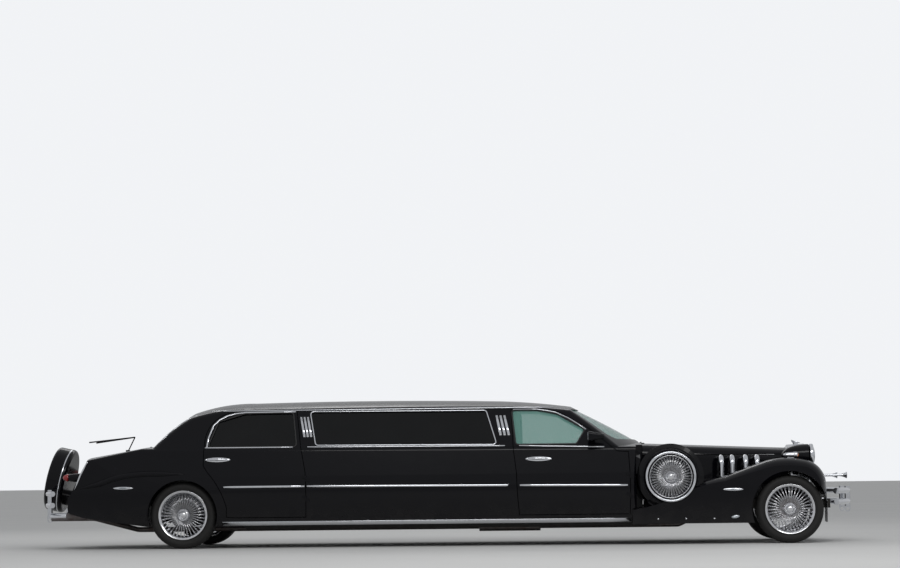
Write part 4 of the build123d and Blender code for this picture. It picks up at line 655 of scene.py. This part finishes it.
def road_tyre(end, side):
    """A tyre with grooves and shoulder cuts, about an axis along Y."""
    node = f"tyre_{end}_{side}"
    low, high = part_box(node)
    radius = (high[2] - low[2]) / 2
    half = (high[1] - low[1]) / 2
    one_side = [
        (BEAD, 0.094), (BEAD + 0.008, 0.101), (BEAD + 0.022, 0.106), (BEAD + 0.024, 0.1085),
        (BEAD + 0.028, 0.1085), (BEAD + 0.040, half), (radius - 0.040, half - 0.001),
        (radius - 0.024, half - 0.008), (radius - 0.012, half - 0.020), (radius - 0.004, half - 0.030),
        (radius - 0.002, 0.066), (radius - 0.010, 0.064), (radius - 0.010, 0.056), (radius - 0.001, 0.054),
        (radius - 0.0005, 0.026), (radius - 0.009, 0.024), (radius - 0.009, 0.016), (radius, 0.014),
    ]
    profile = one_side + [(r, -along) for r, along in reversed(one_side)]
    centre = (ENDS[end], SIGN[side] * WHEEL_Y, AXLE_HEIGHT)
    bm = bmesh.new()
    rows = ring_of(bm, profile, centre, TYRE_SEGMENTS)
    for row in rows[::CUT_EVERY]:
        for i in SHOULDER_POINTS:
            for vert in (row[i], row[-1 - i]):
                from_axis = Vector((vert.co.x - centre[0], 0, vert.co.z - centre[2]))
                vert.co -= from_axis.normalized() * CUT_DEPTH
    made = keep(f"road_tyre_{end}_{side}", bm, rubber, f"wheel_{end}_{side}")
    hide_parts(node)


for side in SIGN:
    for end in ENDS:
        road_tyre(end, side)
print("tyres built")

# %% [markdown]
# ## Side-mounted spares
#
# Each front wing carries a spare in a gloss black cover. A broad chrome ring stands on the cover, with a black
# gap inside it and a wire disc with its own hub in the middle. The wires are almost straight spokes here, in
# two layers, over a black well that makes them stand out.

# %% Spares in the wings
SPARE_X, SPARE_Z = front(-1172), 0.668
SPARE_Y, SPARE_OUT = 0.945, 0.036
SPARE_WIRES, SPARE_WIRE_R, SPARE_DISC_R = 80, 0.0017, 0.206
SPARE_EAR, SPARE_EAR_REACH = 0.5, 0.034

# A layer has its radius and place on the hub, its place at the disc's edge, the lean and the first step.
spare_wire_layers = ((0.040, 0.004, -0.006, 0.10, 0.0), (0.052, -0.006, -0.016, 0.22, 0.5))
spare_disc = [(0.204, -0.024), (0.211, -0.018), (0.213, -0.006), (0.210, 0.000), (0.205, -0.004),
              (0.203, -0.016)]
spare_hub = [(0.0005, 0.016), (0.014, 0.015), (0.026, 0.010), (0.030, 0.002), (0.052, -0.002), (0.056, -0.010),
             (0.050, -0.030)]
spare_ring = [(0.252, -SPARE_OUT - 0.004), (0.251, 0.004), (0.244, 0.009), (0.234, 0.009), (0.227, 0.003),
              (0.227, -SPARE_OUT - 0.006)]
spare_well = [(0.001, -0.034), (0.226, -0.034), (0.226, -0.004), (0.212, -0.006), (0.212, -0.030),
              (0.001, -0.030)]


def dress_spare(side):
    """The wires, the polished ring and the black well of one spare; it gives back the wires."""
    s = SIGN[side]
    centre = (SPARE_X, s * (SPARE_Y + SPARE_OUT), SPARE_Z)

    def outward(profile):
        """A profile with its places along the axis turned to this side."""
        return [(radius, s * along) for radius, along in profile]

    def around(radius, angle, along):
        """A point on a circle about the spare's axis."""
        x, z = SPARE_X + radius * math.cos(angle), SPARE_Z + radius * math.sin(angle)
        return x, centre[1] + s * along, z

    bm = bmesh.new()
    for hub_r, hub_a, edge_a, lean, share in spare_wire_layers:
        for k in range(SPARE_WIRES):
            base = 2 * math.pi * (k + share) / SPARE_WIRES
            swung = base + (lean if k % 2 else -lean)
            rod(bm, around(hub_r, base, hub_a), around(SPARE_DISC_R, swung, edge_a), SPARE_WIRE_R)
    ring_of(bm, outward(spare_disc), centre, RIM_SEGMENTS)
    capped(bm, ring_of(bm, outward(spare_hub), centre, HUB_SEGMENTS, closed=False), 0)
    for ear in (SPARE_EAR, SPARE_EAR + math.pi):
        spot = around(SPARE_EAR_REACH, ear, 0.006)
        block(bm, spot, (0.036, 0.008, 0.014), 0.003, Matrix.Rotation(-ear, 4, "Y"))
    wires = keep(f"spare_wires_{side}", bm, wire_chrome)
    for label, profile, segments, finish in (
        ("spare_ring", spare_ring, 96, chrome), ("spare_well", spare_well, 72, black_gloss),
    ):
        bm = bmesh.new()
        ring_of(bm, outward(profile), centre, segments)
        keep(f"{label}_{side}", bm, finish)
    return wires


for wires in [dress_spare(side) for side in SIGN]:
    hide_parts("spare_wheels")
print("spares dressed")

# %% [markdown]
# ## Outlines that grow and round themselves
#
# The bright frames run just outside the window openings. Instead of measuring a second set of corners, the
# opening's own corners are pushed outwards and then rounded with a short curve.

# %% Growing an outline
FRAME_OUT, FRAME_CORNER, CORNER_STEPS = 0.008, 0.035, 5


def outline(points):
    """Grow a ring of (x, z) corners outwards and round each corner."""
    area = sum(a[0] * b[1] - b[0] * a[1] for a, b in zip(points, points[1:] + points[:1]))
    ring = [Vector(p) for p in (points if area > 0 else points[::-1])]
    count = len(ring)
    grown = []
    for i in range(count):
        before = (ring[i] - ring[i - 1]).normalized()
        after = (ring[(i + 1) % count] - ring[i]).normalized()
        first, second = Vector((before.y, -before.x)), Vector((after.y, -after.x))
        half = (first + second).normalized()
        grown.append(ring[i] + half * FRAME_OUT / half.dot(first))
    rounded = []
    for i in range(count):
        here = grown[i]
        u, v = grown[i - 1] - here, grown[(i + 1) % count] - here
        cut = min(FRAME_CORNER / math.tan(u.angle(v) / 2), u.length * 0.45, v.length * 0.45)
        a, b = here + u.normalized() * cut, here + v.normalized() * cut
        for k in range(CORNER_STEPS + 1):
            t = k / CORNER_STEPS
            rounded.append(tuple(a * (1 - t) ** 2 + here * 2 * t * (1 - t) + b * t ** 2))
    return rounded


rear_door_window = places([(258, 1020), (345, 1266), (600, 1344), (1085, 1348), (1138, 1018)], "r")
front_door_window = places(
    [(-2700, 1012), (-2742, 1348), (-2500, 1346), (-2300, 1308), (-2022, 1150), (-2105, 1012)], "f")
centre_window = places([(1345, 1028), (1272, 1356), (-3012, 1348), (-2905, 1016)], "rrff")
print("window outlines", len(outline(rear_door_window)))

# %% [markdown]
# ## Bright frames, belt line and drip rail
#
# A polished strip frames each side window, another runs under all of them at the belt, and a thin gutter
# follows the edge of the roof. Each strip is laid on the skin by rays, so it bends with the tumblehome, and it
# is cut where the doors are cut: the door's share rides on the door.

# %% Bright window frames
rear_door_arc = places([(240, 1010), (251, 1108), (288, 1230), (346, 1290), (420, 1330), (505, 1352),
                        (610, 1363), (1116, 1365)], "r")
front_door_arc = places([(-2734, 1361), (-2500, 1360), (-2400, 1347), (-2310, 1327), (-2182, 1268),
                         (-2080, 1203), (-2003, 1148)], "f")
drip_rail = places([(60, 1379), (400, 1380), (-2600, 1380), (-2330, 1379)], "rrff")
for side in SIGN:
    for label, panel, window, finish in (
        ("rear_door_seal", "door_rear", rear_door_window, trim_plastic),
        ("front_door_seal", "door_front", front_door_window, trim_plastic),
        ("centre_frame", "centre_panels", centre_window, chrome),
    ):
        side_strip(label, side, panel, outline(window), 0.012, 0.005, finish, closed=True, step=0.08)
    for label, panel, line, width in (
        ("rear_door_arc", "door_rear", rear_door_arc, 0.016),
        ("front_door_arc", "door_front", front_door_arc, 0.012),
        ("belt_rear_door", "door_rear", places([(222, 1006), (1236, 1004)], "r"), 0.012),
        ("belt_centre", "centre_panels", places([(1256, 1004), (-2690, 993)], "rf"), 0.012),
        ("belt_front_door", "door_front", places([(-2672, 993), (-1584, 966)], "f"), 0.012),
        ("drip_rail", "roof_panel", drip_rail, 0.012),
    ):
        side_strip(label, side, panel, line, width, 0.006, chrome)
print("window frames on")

# %% [markdown]
# ## Side mouldings, sill strips and pillar slats
#
# A narrow rubbing strip runs along the doors at knee height. The broad polished strip on the sill catches the
# light from the road. The pillars beside the doors carry three upright slats each. The rear wing has a soft
# painted ridge over its wheel, and bright edges run up the rear pillar and down the corner of the tail.

# %% Mouldings and slats
tail_edge = places([(-952, 893), (-978, 858), (-1005, 805), (-1035, 752), (-1057, 700), (-1078, 650),
                    (-1100, 602)], "r")
pillar_edge = places([(-288, 1042), (-238, 1080), (-200, 1120), (-162, 1160), (-126, 1200), (-78, 1240),
                      (-20, 1280), (48, 1320), (100, 1348)], "r")
quarter_ridge = places([(-1215, 540), (-1089, 601), (-960, 632), (-838, 658), (-720, 700), (-599, 730),
                        (-480, 746), (-363, 754), (-160, 752), (33, 743)], "r")
for side in SIGN:
    for label, panel, line in (
        ("moulding_rear_door", "door_rear", places([(420, 612), (1234, 613)], "r")),
        ("moulding_centre", "centre_panels", places([(1258, 613), (-2690, 601)], "rf")),
        ("moulding_front_door", "door_front", places([(-2668, 600), (-1600, 590)], "f")),
    ):
        side_strip(label, side, panel, line, 0.022, 0.009, chrome)
    sill = places([(405, 248), (-1570, 246)], "rf")
    side_strip("sill_strip", side, "sills", sill, 0.054, 0.005, chrome, step=0.3, edge=0.44)
    for k in range(3):
        by_rear_door = places([(1174 + k * 34, 1306), (1221 + k * 34, 1104)], "r")
        by_front_door = places([(-2900 + k * 39, 1298), (-2856 + k * 41, 1098)], "f")
        for label, line, width in (("rear", by_rear_door, 0.023), ("front", by_front_door, 0.026)):
            side_strip(f"slat_{label}_{k}", side, "centre_panels", line, width, 0.007, chrome,
                       step=0.1, edge=0.4)
    side_strip("tail_edge", side, "rear_body", tail_edge, 0.016, 0.007, chrome, step=0.03, fade=2)
    side_strip("pillar_edge", side, "rear_body", pillar_edge, 0.020, 0.006, chrome, step=0.03, fade=3)
    side_strip("quarter_ridge", side, "rear_body", quarter_ridge, 0.054, 0.017, black_paint,
               step=0.05, edge=0.12, fade=4)
print("mouldings on")

# %% [markdown]
# ## Handles, marker lamps and studs
#
# A door handle is a shallow plate with a bowed pull in front of it. The marker lamps and the step lights are
# the same form on a smaller scale: a spindle that is pointed at both ends and lies on the skin.

# %% A spindle on the skin
SPINDLE_SIDES = 10
THINNEST = 0.03


def spindle(label, side, panel, ends, height, proud, finish, lift=0.0, stations=14):
    """A pointed half-round form on the skin between two (x, z) places, bowed away from it by lift."""
    (xa, za), (xb, zb) = ends
    bm = bmesh.new()
    rings = []
    for i in range(stations + 1):
        t = i / stations
        hit = on_skin(panel, side, xa + (xb - xa) * t, za + (zb - za) * t)
        if not hit:
            continue
        place, normal = hit
        swell = max(THINNEST, math.sin(math.pi * t)) ** 0.5
        over = Vector((1, 0, 0)).cross(normal).normalized()
        centre = place + normal * lift * math.sin(math.pi * t) ** 0.6 if 0 < t < 1 else place
        ring = []
        for k in range(SPINDLE_SIDES):
            angle = 2 * math.pi * k / SPINDLE_SIDES
            aside, out = height / 2 * swell * math.cos(angle), proud * swell * math.sin(angle)
            ring.append(bm.verts.new(centre + over * aside + normal * out))
        rings.append(ring)
    lace(bm, rings)
    keep(f"{label}_{side}", bm, finish, body_of(panel, side))


# %% Handles and small lamps
for side in SIGN:
    for label, panel, axle_letter, x_from, x_to, z in (
        ("rear", "door_rear", "r", 226, 482, 886), ("front", "door_front", "f", -2612, -2348, 860),
    ):
        for piece, a, b, height, proud, lift in (
            ("plate", x_from, x_to, 0.052, 0.006, 0.0),
            ("pull", x_from + 18, x_to - 30, 0.026, 0.010, 0.024),
            ("lock", x_from + 4, x_from + 30, 0.028, 0.014, 0.0),
        ):
            ends = places([(a, z), (b, z)], axle_letter)
            spindle(f"handle_{piece}_{label}", side, panel, ends, height, proud, chrome, lift)
    for label, panel, axle_letter, points, height, proud, finish in (
        ("marker_front", "front_wings", "f", [(-661, 537), (-459, 536)], 0.034, 0.012, chrome),
        ("marker_glass_front", "front_wings", "f", [(-625, 537), (-495, 536)], 0.020, 0.016, lamp_glass),
        ("marker_rear", "rear_body", "r", [(-696, 613), (-494, 613)], 0.034, 0.012, chrome),
        ("marker_glass_rear", "rear_body", "r", [(-660, 613), (-530, 613)], 0.020, 0.016, lamp_glass),
        ("step_light", "front_wings", "f", [(-585, 262), (-500, 272)], 0.036, 0.014, lamp_glass),
    ):
        spindle(label, side, panel, places(points, axle_letter), height, proud, finish)
    for k, x in enumerate((-1304, -1028, -751)):
        ends = places([(x - 9, 252), (x + 9, 252)], "f")
        spindle(f"wing_stud_{k}", side, "front_wings", ends, 0.018, 0.006, chrome, stations=6)
print("handles and markers on")

# %% [markdown]
# ## Headlamps and torpedo lamps
#
# The big lamps are gloss black shells with a polished rim and a bowed, fluted glass. The small lamps on the
# wings are polished all over, with an amber glass in front. Everything here is turned about the lamp's axis,
# so one lathe profile makes each piece.

# %% Lamps
HEADLAMP_R, HEADLAMP_Y = 0.114, 0.450
WING_LAMP_R, WING_LAMP_Y = 0.0305, 0.750

headlamp_rim = [(0.100, 0.004), (0.103, 0.008), (0.108, 0.0095), (0.113, 0.007), (0.1165, 0.000),
                (0.1165, -0.020), (0.1145, -0.026), (0.1135, -0.004), (0.106, 0.001)]
headlamp_dome = [(0.102, 0.001), (0.100, 0.006), (0.088, 0.014), (0.066, 0.022), (0.040, 0.027),
                 (0.015, 0.029), (0.0, 0.0293), (0.0, 0.000)]
wing_lamp_tip = [(0.0, -0.040), (0.0255, -0.040), (0.0262, -0.030), (0.0235, -0.014), (0.015, -0.003),
                 (0.006, 0.001), (0.0, 0.0015)]
wing_lamp_collar = [(0.0262, -0.048), (0.0300, -0.046), (0.0300, -0.038), (0.0262, -0.036)]

_, big_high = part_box("headlamps")
_, small_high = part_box("wing_lamps")
for side, s in SIGN.items():
    big = (big_high[0], s * HEADLAMP_Y, big_high[2] - HEADLAMP_R)
    small = (small_high[0], s * WING_LAMP_Y, small_high[2] - WING_LAMP_R)
    turned(f"headlamp_rim_{side}", headlamp_rim, big, chrome)
    turned(f"headlamp_glass_{side}", headlamp_dome, big, lamp_glass)
    turned(f"wing_lamp_glass_{side}", wing_lamp_tip, small, amber_lens)
    turned(f"wing_lamp_ring_{side}", wing_lamp_collar, small, chrome)
print("lamps glazed")

# %% [markdown]
# ## Radiator
#
# Upright bars are what makes a radiator of this style. Each bar is a thin plate with a rounded nose, and they
# stand a finger apart in front of the dark core, inside the polished shell. A plain fin stands on top.

# %% Radiator bars and fin
BARS, OPENING = 27, 0.255
BAR_DEPTH, BAR_WIDTH = 0.012, 0.0065
TOP_MARGIN, TOP_FALL, FOOT_MARGIN = 0.075, 0.085, 0.045
FIN_HALF = 0.0045

low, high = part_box("radiator")
bm = bmesh.new()
for k in range(BARS):
    y = -OPENING + 2 * OPENING * k / (BARS - 1)
    top = high[2] - TOP_MARGIN - TOP_FALL * (abs(y) / OPENING) ** 4
    foot = low[2] + FOOT_MARGIN
    block(bm, (high[0] - 0.004, y, (top + foot) / 2), (BAR_DEPTH, BAR_WIDTH, top - foot), 0.002)
for z in (low[2] + 0.20, high[2] - 0.20):
    block(bm, (high[0] - 0.012, 0, z), (0.006, 2 * OPENING, 0.008), 0.001)
keep("radiator_bars", bm, chrome)

fin = [(-0.045, 0.0), (0.030, 0.0), (0.034, 0.006), (-0.010, 0.016), (-0.050, 0.034), (-0.060, 0.036),
       (-0.056, 0.020)]
bm = bmesh.new()
fin_x, fin_z = front(163), high[2] - 0.008
lace(bm, [[bm.verts.new((fin_x + x, y, fin_z + z)) for x, z in fin] for y in (-FIN_HALF, FIN_HALF)])
bmesh.ops.bevel(bm, geom=list(bm.edges), offset=0.0015, segments=2, affect="EDGES")
keep("radiator_fin", bm, chrome)
print("radiator bars", BARS)

# %% [markdown]
# ## Rear spare cover and tail lamps
#
# The spare on the tail hides under a gloss black drum with a thin polished band. The tail lamps are black
# bullets with a red glass at the tip. A polished sleeve covers the end of the exhaust.

# %% Rear cover, tail lamps and exhaust
COVER_TILT = math.radians(13)
COVER_CENTRE = (rear(-1424.5), 0, 0.705)
TAIL_LAMP_R, PIPE_R = 0.0445, 0.026

bm = bmesh.new()
ring_of(bm, [(0.3305, 0.043), (0.3340, 0.046), (0.3340, 0.054), (0.3305, 0.057)], (0, 0, 0), 120, "X")
bm.transform(Matrix.Translation(COVER_CENTRE) @ Matrix.Rotation(COVER_TILT, 4, "Y"))
keep("cover_band", bm, chrome)

lens = [(0.0, 0.0), (0.008, 0.001), (0.020, 0.010), (0.030, 0.024), (0.0355, 0.044), (0.0375, 0.060),
        (0.0, 0.060)]
low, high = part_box("tail_lamps")
for side, s in SIGN.items():
    tip = (low[0] - 0.002, s * (high[1] - TAIL_LAMP_R), (low[2] + high[2]) / 2)
    turned(f"tail_lens_{side}", lens, tip, red_lens)

sleeve = [(0.0245, -0.010), (0.0285, -0.012), (0.0300, -0.006), (0.0292, 0.060), (0.0292, 0.150),
          (0.0270, 0.158)]
muffler = [(0.0265, 0.150), (0.042, 0.160), (0.046, 0.172), (0.046, 0.350), (0.042, 0.362), (0.0265, 0.372)]
low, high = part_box("exhaust")
pipe_end = (low[0], low[1] + PIPE_R, high[2] - PIPE_R)
turned("exhaust_sleeve", sleeve, pipe_end, chrome)
turned("exhaust_muffler", muffler, pipe_end, steel)
print("tail dressed")

# %% [markdown]
# ## Mirrors and steering wheel
#
# Each door mirror gets its glass on the face towards the driver. The steering wheel shows through the front
# door's window: a padded rim on three spokes, with a short column into the dashboard.

# %% Mirror glasses and steering wheel
GRIP_R, GRIP_THICK = 0.182, 0.013
COLUMN_RAKE = math.radians(22)
STEERING_PLACE = (front(-2200), 0.39, 0.850)

for side, s in SIGN.items():
    bm = bmesh.new()
    block(bm, (front(-1985.5), s * 1.010, 1.078), (0.004, 0.150, 0.074), 0.0015)
    keep(f"mirror_glass_{side}", bm, chrome, f"door_front_{side}")

bm = bmesh.new()
grip_angles = [math.pi * k / 5 for k in range(10)]
grip = [(GRIP_R + GRIP_THICK * math.cos(angle), GRIP_THICK * math.sin(angle)) for angle in grip_angles]
ring_of(bm, grip, (0, 0, 0), 64, "X")
for spoke in (0, math.pi * 0.78, -math.pi * 0.78):
    rod(bm, (0.012, 0, 0), (0, GRIP_R * math.sin(spoke), -GRIP_R * math.cos(spoke)), 0.010, sides=8)
column = [(0.0005, -0.010), (0.036, -0.006), (0.042, 0.004), (0.036, 0.016), (0.018, 0.022), (0.018, 0.13)]
capped(bm, ring_of(bm, column, (0, 0, 0), 32, "X", closed=False), -1)
bm.transform(Matrix.Translation(STEERING_PLACE) @ Matrix.Rotation(COLUMN_RAKE, 4, "Y"))
keep("steering_wheel", bm, trim_plastic)
print("steering wheel in")

# %% [markdown]
# ## Seats
#
# A plain block is never a seat. Each cushion starts as a fine grid of points on a rounded box: the faces
# swell, the edges pull in between the corners, and sewn channels sink along straight lines. A thin piping runs
# around the edge as its own tube.

# %% A cushion
CROWN, UNDER_LEVEL, UNDER_SWELL = 0.018, 0.004, -0.003
ROWS_ALONG, COLUMNS_PER_CHANNEL = 14, 6
EDGE_PULL, WAIST = 0.0048, 0.004
PUFF_POWER, SEWN_SHARE = 0.35, 0.28
PIPING_R = 0.0035


def cushion(name, corners, thick, channels):
    """A crowned pad over four base corners (ordered round), thick along their normal."""
    a, b, c, d = [Vector(p) for p in corners]
    normal = (b - a).cross(d - a).normalized()
    columns = max(16, channels * COLUMNS_PER_CHANNEL)
    bm = bmesh.new()

    def grid(level, swell):
        """One face of the pad as rows of points."""
        rows = []
        for i in range(ROWS_ALONG + 1):
            u = i / ROWS_ALONG
            row = []
            for j in range(columns + 1):
                v = j / columns
                puff = (4 * u * (1 - u)) ** PUFF_POWER * (4 * v * (1 - v)) ** PUFF_POWER
                sewn = abs(math.sin(math.pi * v * channels)) ** 0.5
                pull = EDGE_PULL * (1 - puff)
                over, up = v + (0.5 - v) * pull, u + (0.5 - u) * pull
                height = level + swell * puff * (1 - SEWN_SHARE + SEWN_SHARE * sewn)
                row.append(bm.verts.new(a.lerp(b, over).lerp(d.lerp(c, over), up) + normal * height))
            rows.append(row)
        return rows

    top, under = grid(thick - CROWN, CROWN), grid(UNDER_LEVEL, UNDER_SWELL)
    for rows in (top, under):
        for i in range(ROWS_ALONG):
            for j in range(columns):
                bm.faces.new((rows[i][j], rows[i][j + 1], rows[i + 1][j + 1], rows[i + 1][j]))
    edge = [(i, 0) for i in range(ROWS_ALONG)] + [(ROWS_ALONG, j) for j in range(columns)]
    edge += [(i, columns) for i in range(ROWS_ALONG, 0, -1)] + [(0, j) for j in range(columns, 0, -1)]
    middle = {}
    for i, j in edge:
        p, q = top[i][j].co, under[i][j].co
        out = (p - (a + b + c + d) / 4).normalized()
        middle[i, j] = bm.verts.new((p + q) / 2 - out * WAIST)
    for (i, j), (m, n) in zip(edge, edge[1:] + edge[:1]):
        bm.faces.new((top[i][j], top[m][n], middle[m, n], middle[i, j]))
        bm.faces.new((middle[i, j], middle[m, n], under[m][n], under[i][j]))
    seam = [top[i][j].co.copy() for i, j in edge]
    made = keep(name, bm, leather)
    bm = bmesh.new()
    for p, q in zip(seam, seam[1:] + seam[:1]):
        rod(bm, p, q, PIPING_R, sides=6)
    keep(name + "_piping", bm, leather)
    return made


def bolster(name, span, side_view):
    """A plain upholstered carcass under a cushion, from its (x, z) outline and its span along Y."""
    bm = bmesh.new()
    lace(bm, [[bm.verts.new((x, y, z)) for x, z in side_view] for y in span])
    bmesh.ops.recalc_face_normals(bm, faces=bm.faces)
    bmesh.ops.bevel(bm, geom=list(bm.edges), offset=0.016, segments=3, affect="EDGES")
    return keep(name, bm, leather)


def flat(line, y0, y1):
    """Base corners of a seat cushion that faces up, from its (x, z) line seen from the side."""
    (xa, za), (xb, zb) = line
    return (xa, y0, za), (xb, y0, zb), (xb, y1, zb), (xa, y1, za)


def leaning(line, y0, y1):
    """Base corners of a backrest that faces forwards, from its (x, z) line seen from the side."""
    (xa, za), (xb, zb) = line
    return (xa, y1, za), (xa, y0, za), (xb, y0, zb), (xb, y1, zb)


# %% [markdown]
# Two chairs stand in front, a bench at the back and a long lounge bench along the right wall. The seats' CAD
# node is replaced by all of them together.

# %% Front chairs, rear bench and lounge bench
CHAIR_INNER, CHAIR_OUTER, BENCH_HALF = 0.145, 0.635, 0.635
LOUNGE_FROM, LOUNGE_TO = rear(1160), rear(2890)

seat_low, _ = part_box("seats")
seat_foot = seat_low[2] + 0.005
chair_base = [(front(-2476), seat_foot), (front(-1990), seat_foot), *places([(-1972, 440), (-2436, 395)], "f")]
chair_shell = places([(-2440, 486), (-2385, 490), (-2552, 985), (-2586, 972)], "f")
chair_seat = places([(-2434, 400), (-1972, 445)], "f")
chair_back = places([(-2392, 502), (-2556, 975)], "f")
bench_base = places([(580, 452), (925, 415), (945, 390), (925, 372), (600, 400)], "r")
bench_seat = places([(400, 445), (940, 395)], "r")
bench_back = places([(366, 520), (158, 930)], "r")
lounge_seat = [(LOUNGE_FROM, -0.845, 0.395), (LOUNGE_TO, -0.845, 0.395),
               (LOUNGE_TO, -0.440, 0.380), (LOUNGE_FROM, -0.440, 0.380)]
lounge_back = [(LOUNGE_FROM, -0.800, 0.480), (LOUNGE_FROM, -0.846, 0.800),
               (LOUNGE_TO, -0.846, 0.800), (LOUNGE_TO, -0.800, 0.480)]

seat_pieces = []
for side, (y0, y1) in (("left", (CHAIR_INNER, CHAIR_OUTER)), ("right", (-CHAIR_OUTER, -CHAIR_INNER))):
    seat_pieces += [
        bolster(f"chair_base_{side}", (y0, y1), chair_base),
        cushion(f"chair_seat_{side}", flat(chair_seat, y0, y1), 0.066, 5),
        bolster(f"chair_shell_{side}", (y0 + 0.01, y1 - 0.01), chair_shell),
        cushion(f"chair_back_{side}", leaning(chair_back, y0, y1), 0.055, 5),
    ]
seat_pieces += [
    bolster("rear_bench_base", (-BENCH_HALF, BENCH_HALF), bench_base),
    cushion("rear_bench_seat", flat(bench_seat, -BENCH_HALF, BENCH_HALF), 0.064, 12),
    cushion("rear_bench_back", leaning(bench_back, -BENCH_HALF, BENCH_HALF), 0.060, 12),
    cushion("lounge_seat", lounge_seat, 0.066, 16),
    cushion("lounge_back", lounge_back, 0.045, 16),
]
for piece in seat_pieces:
    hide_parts("seats")
print("seat pieces", len(seat_pieces))
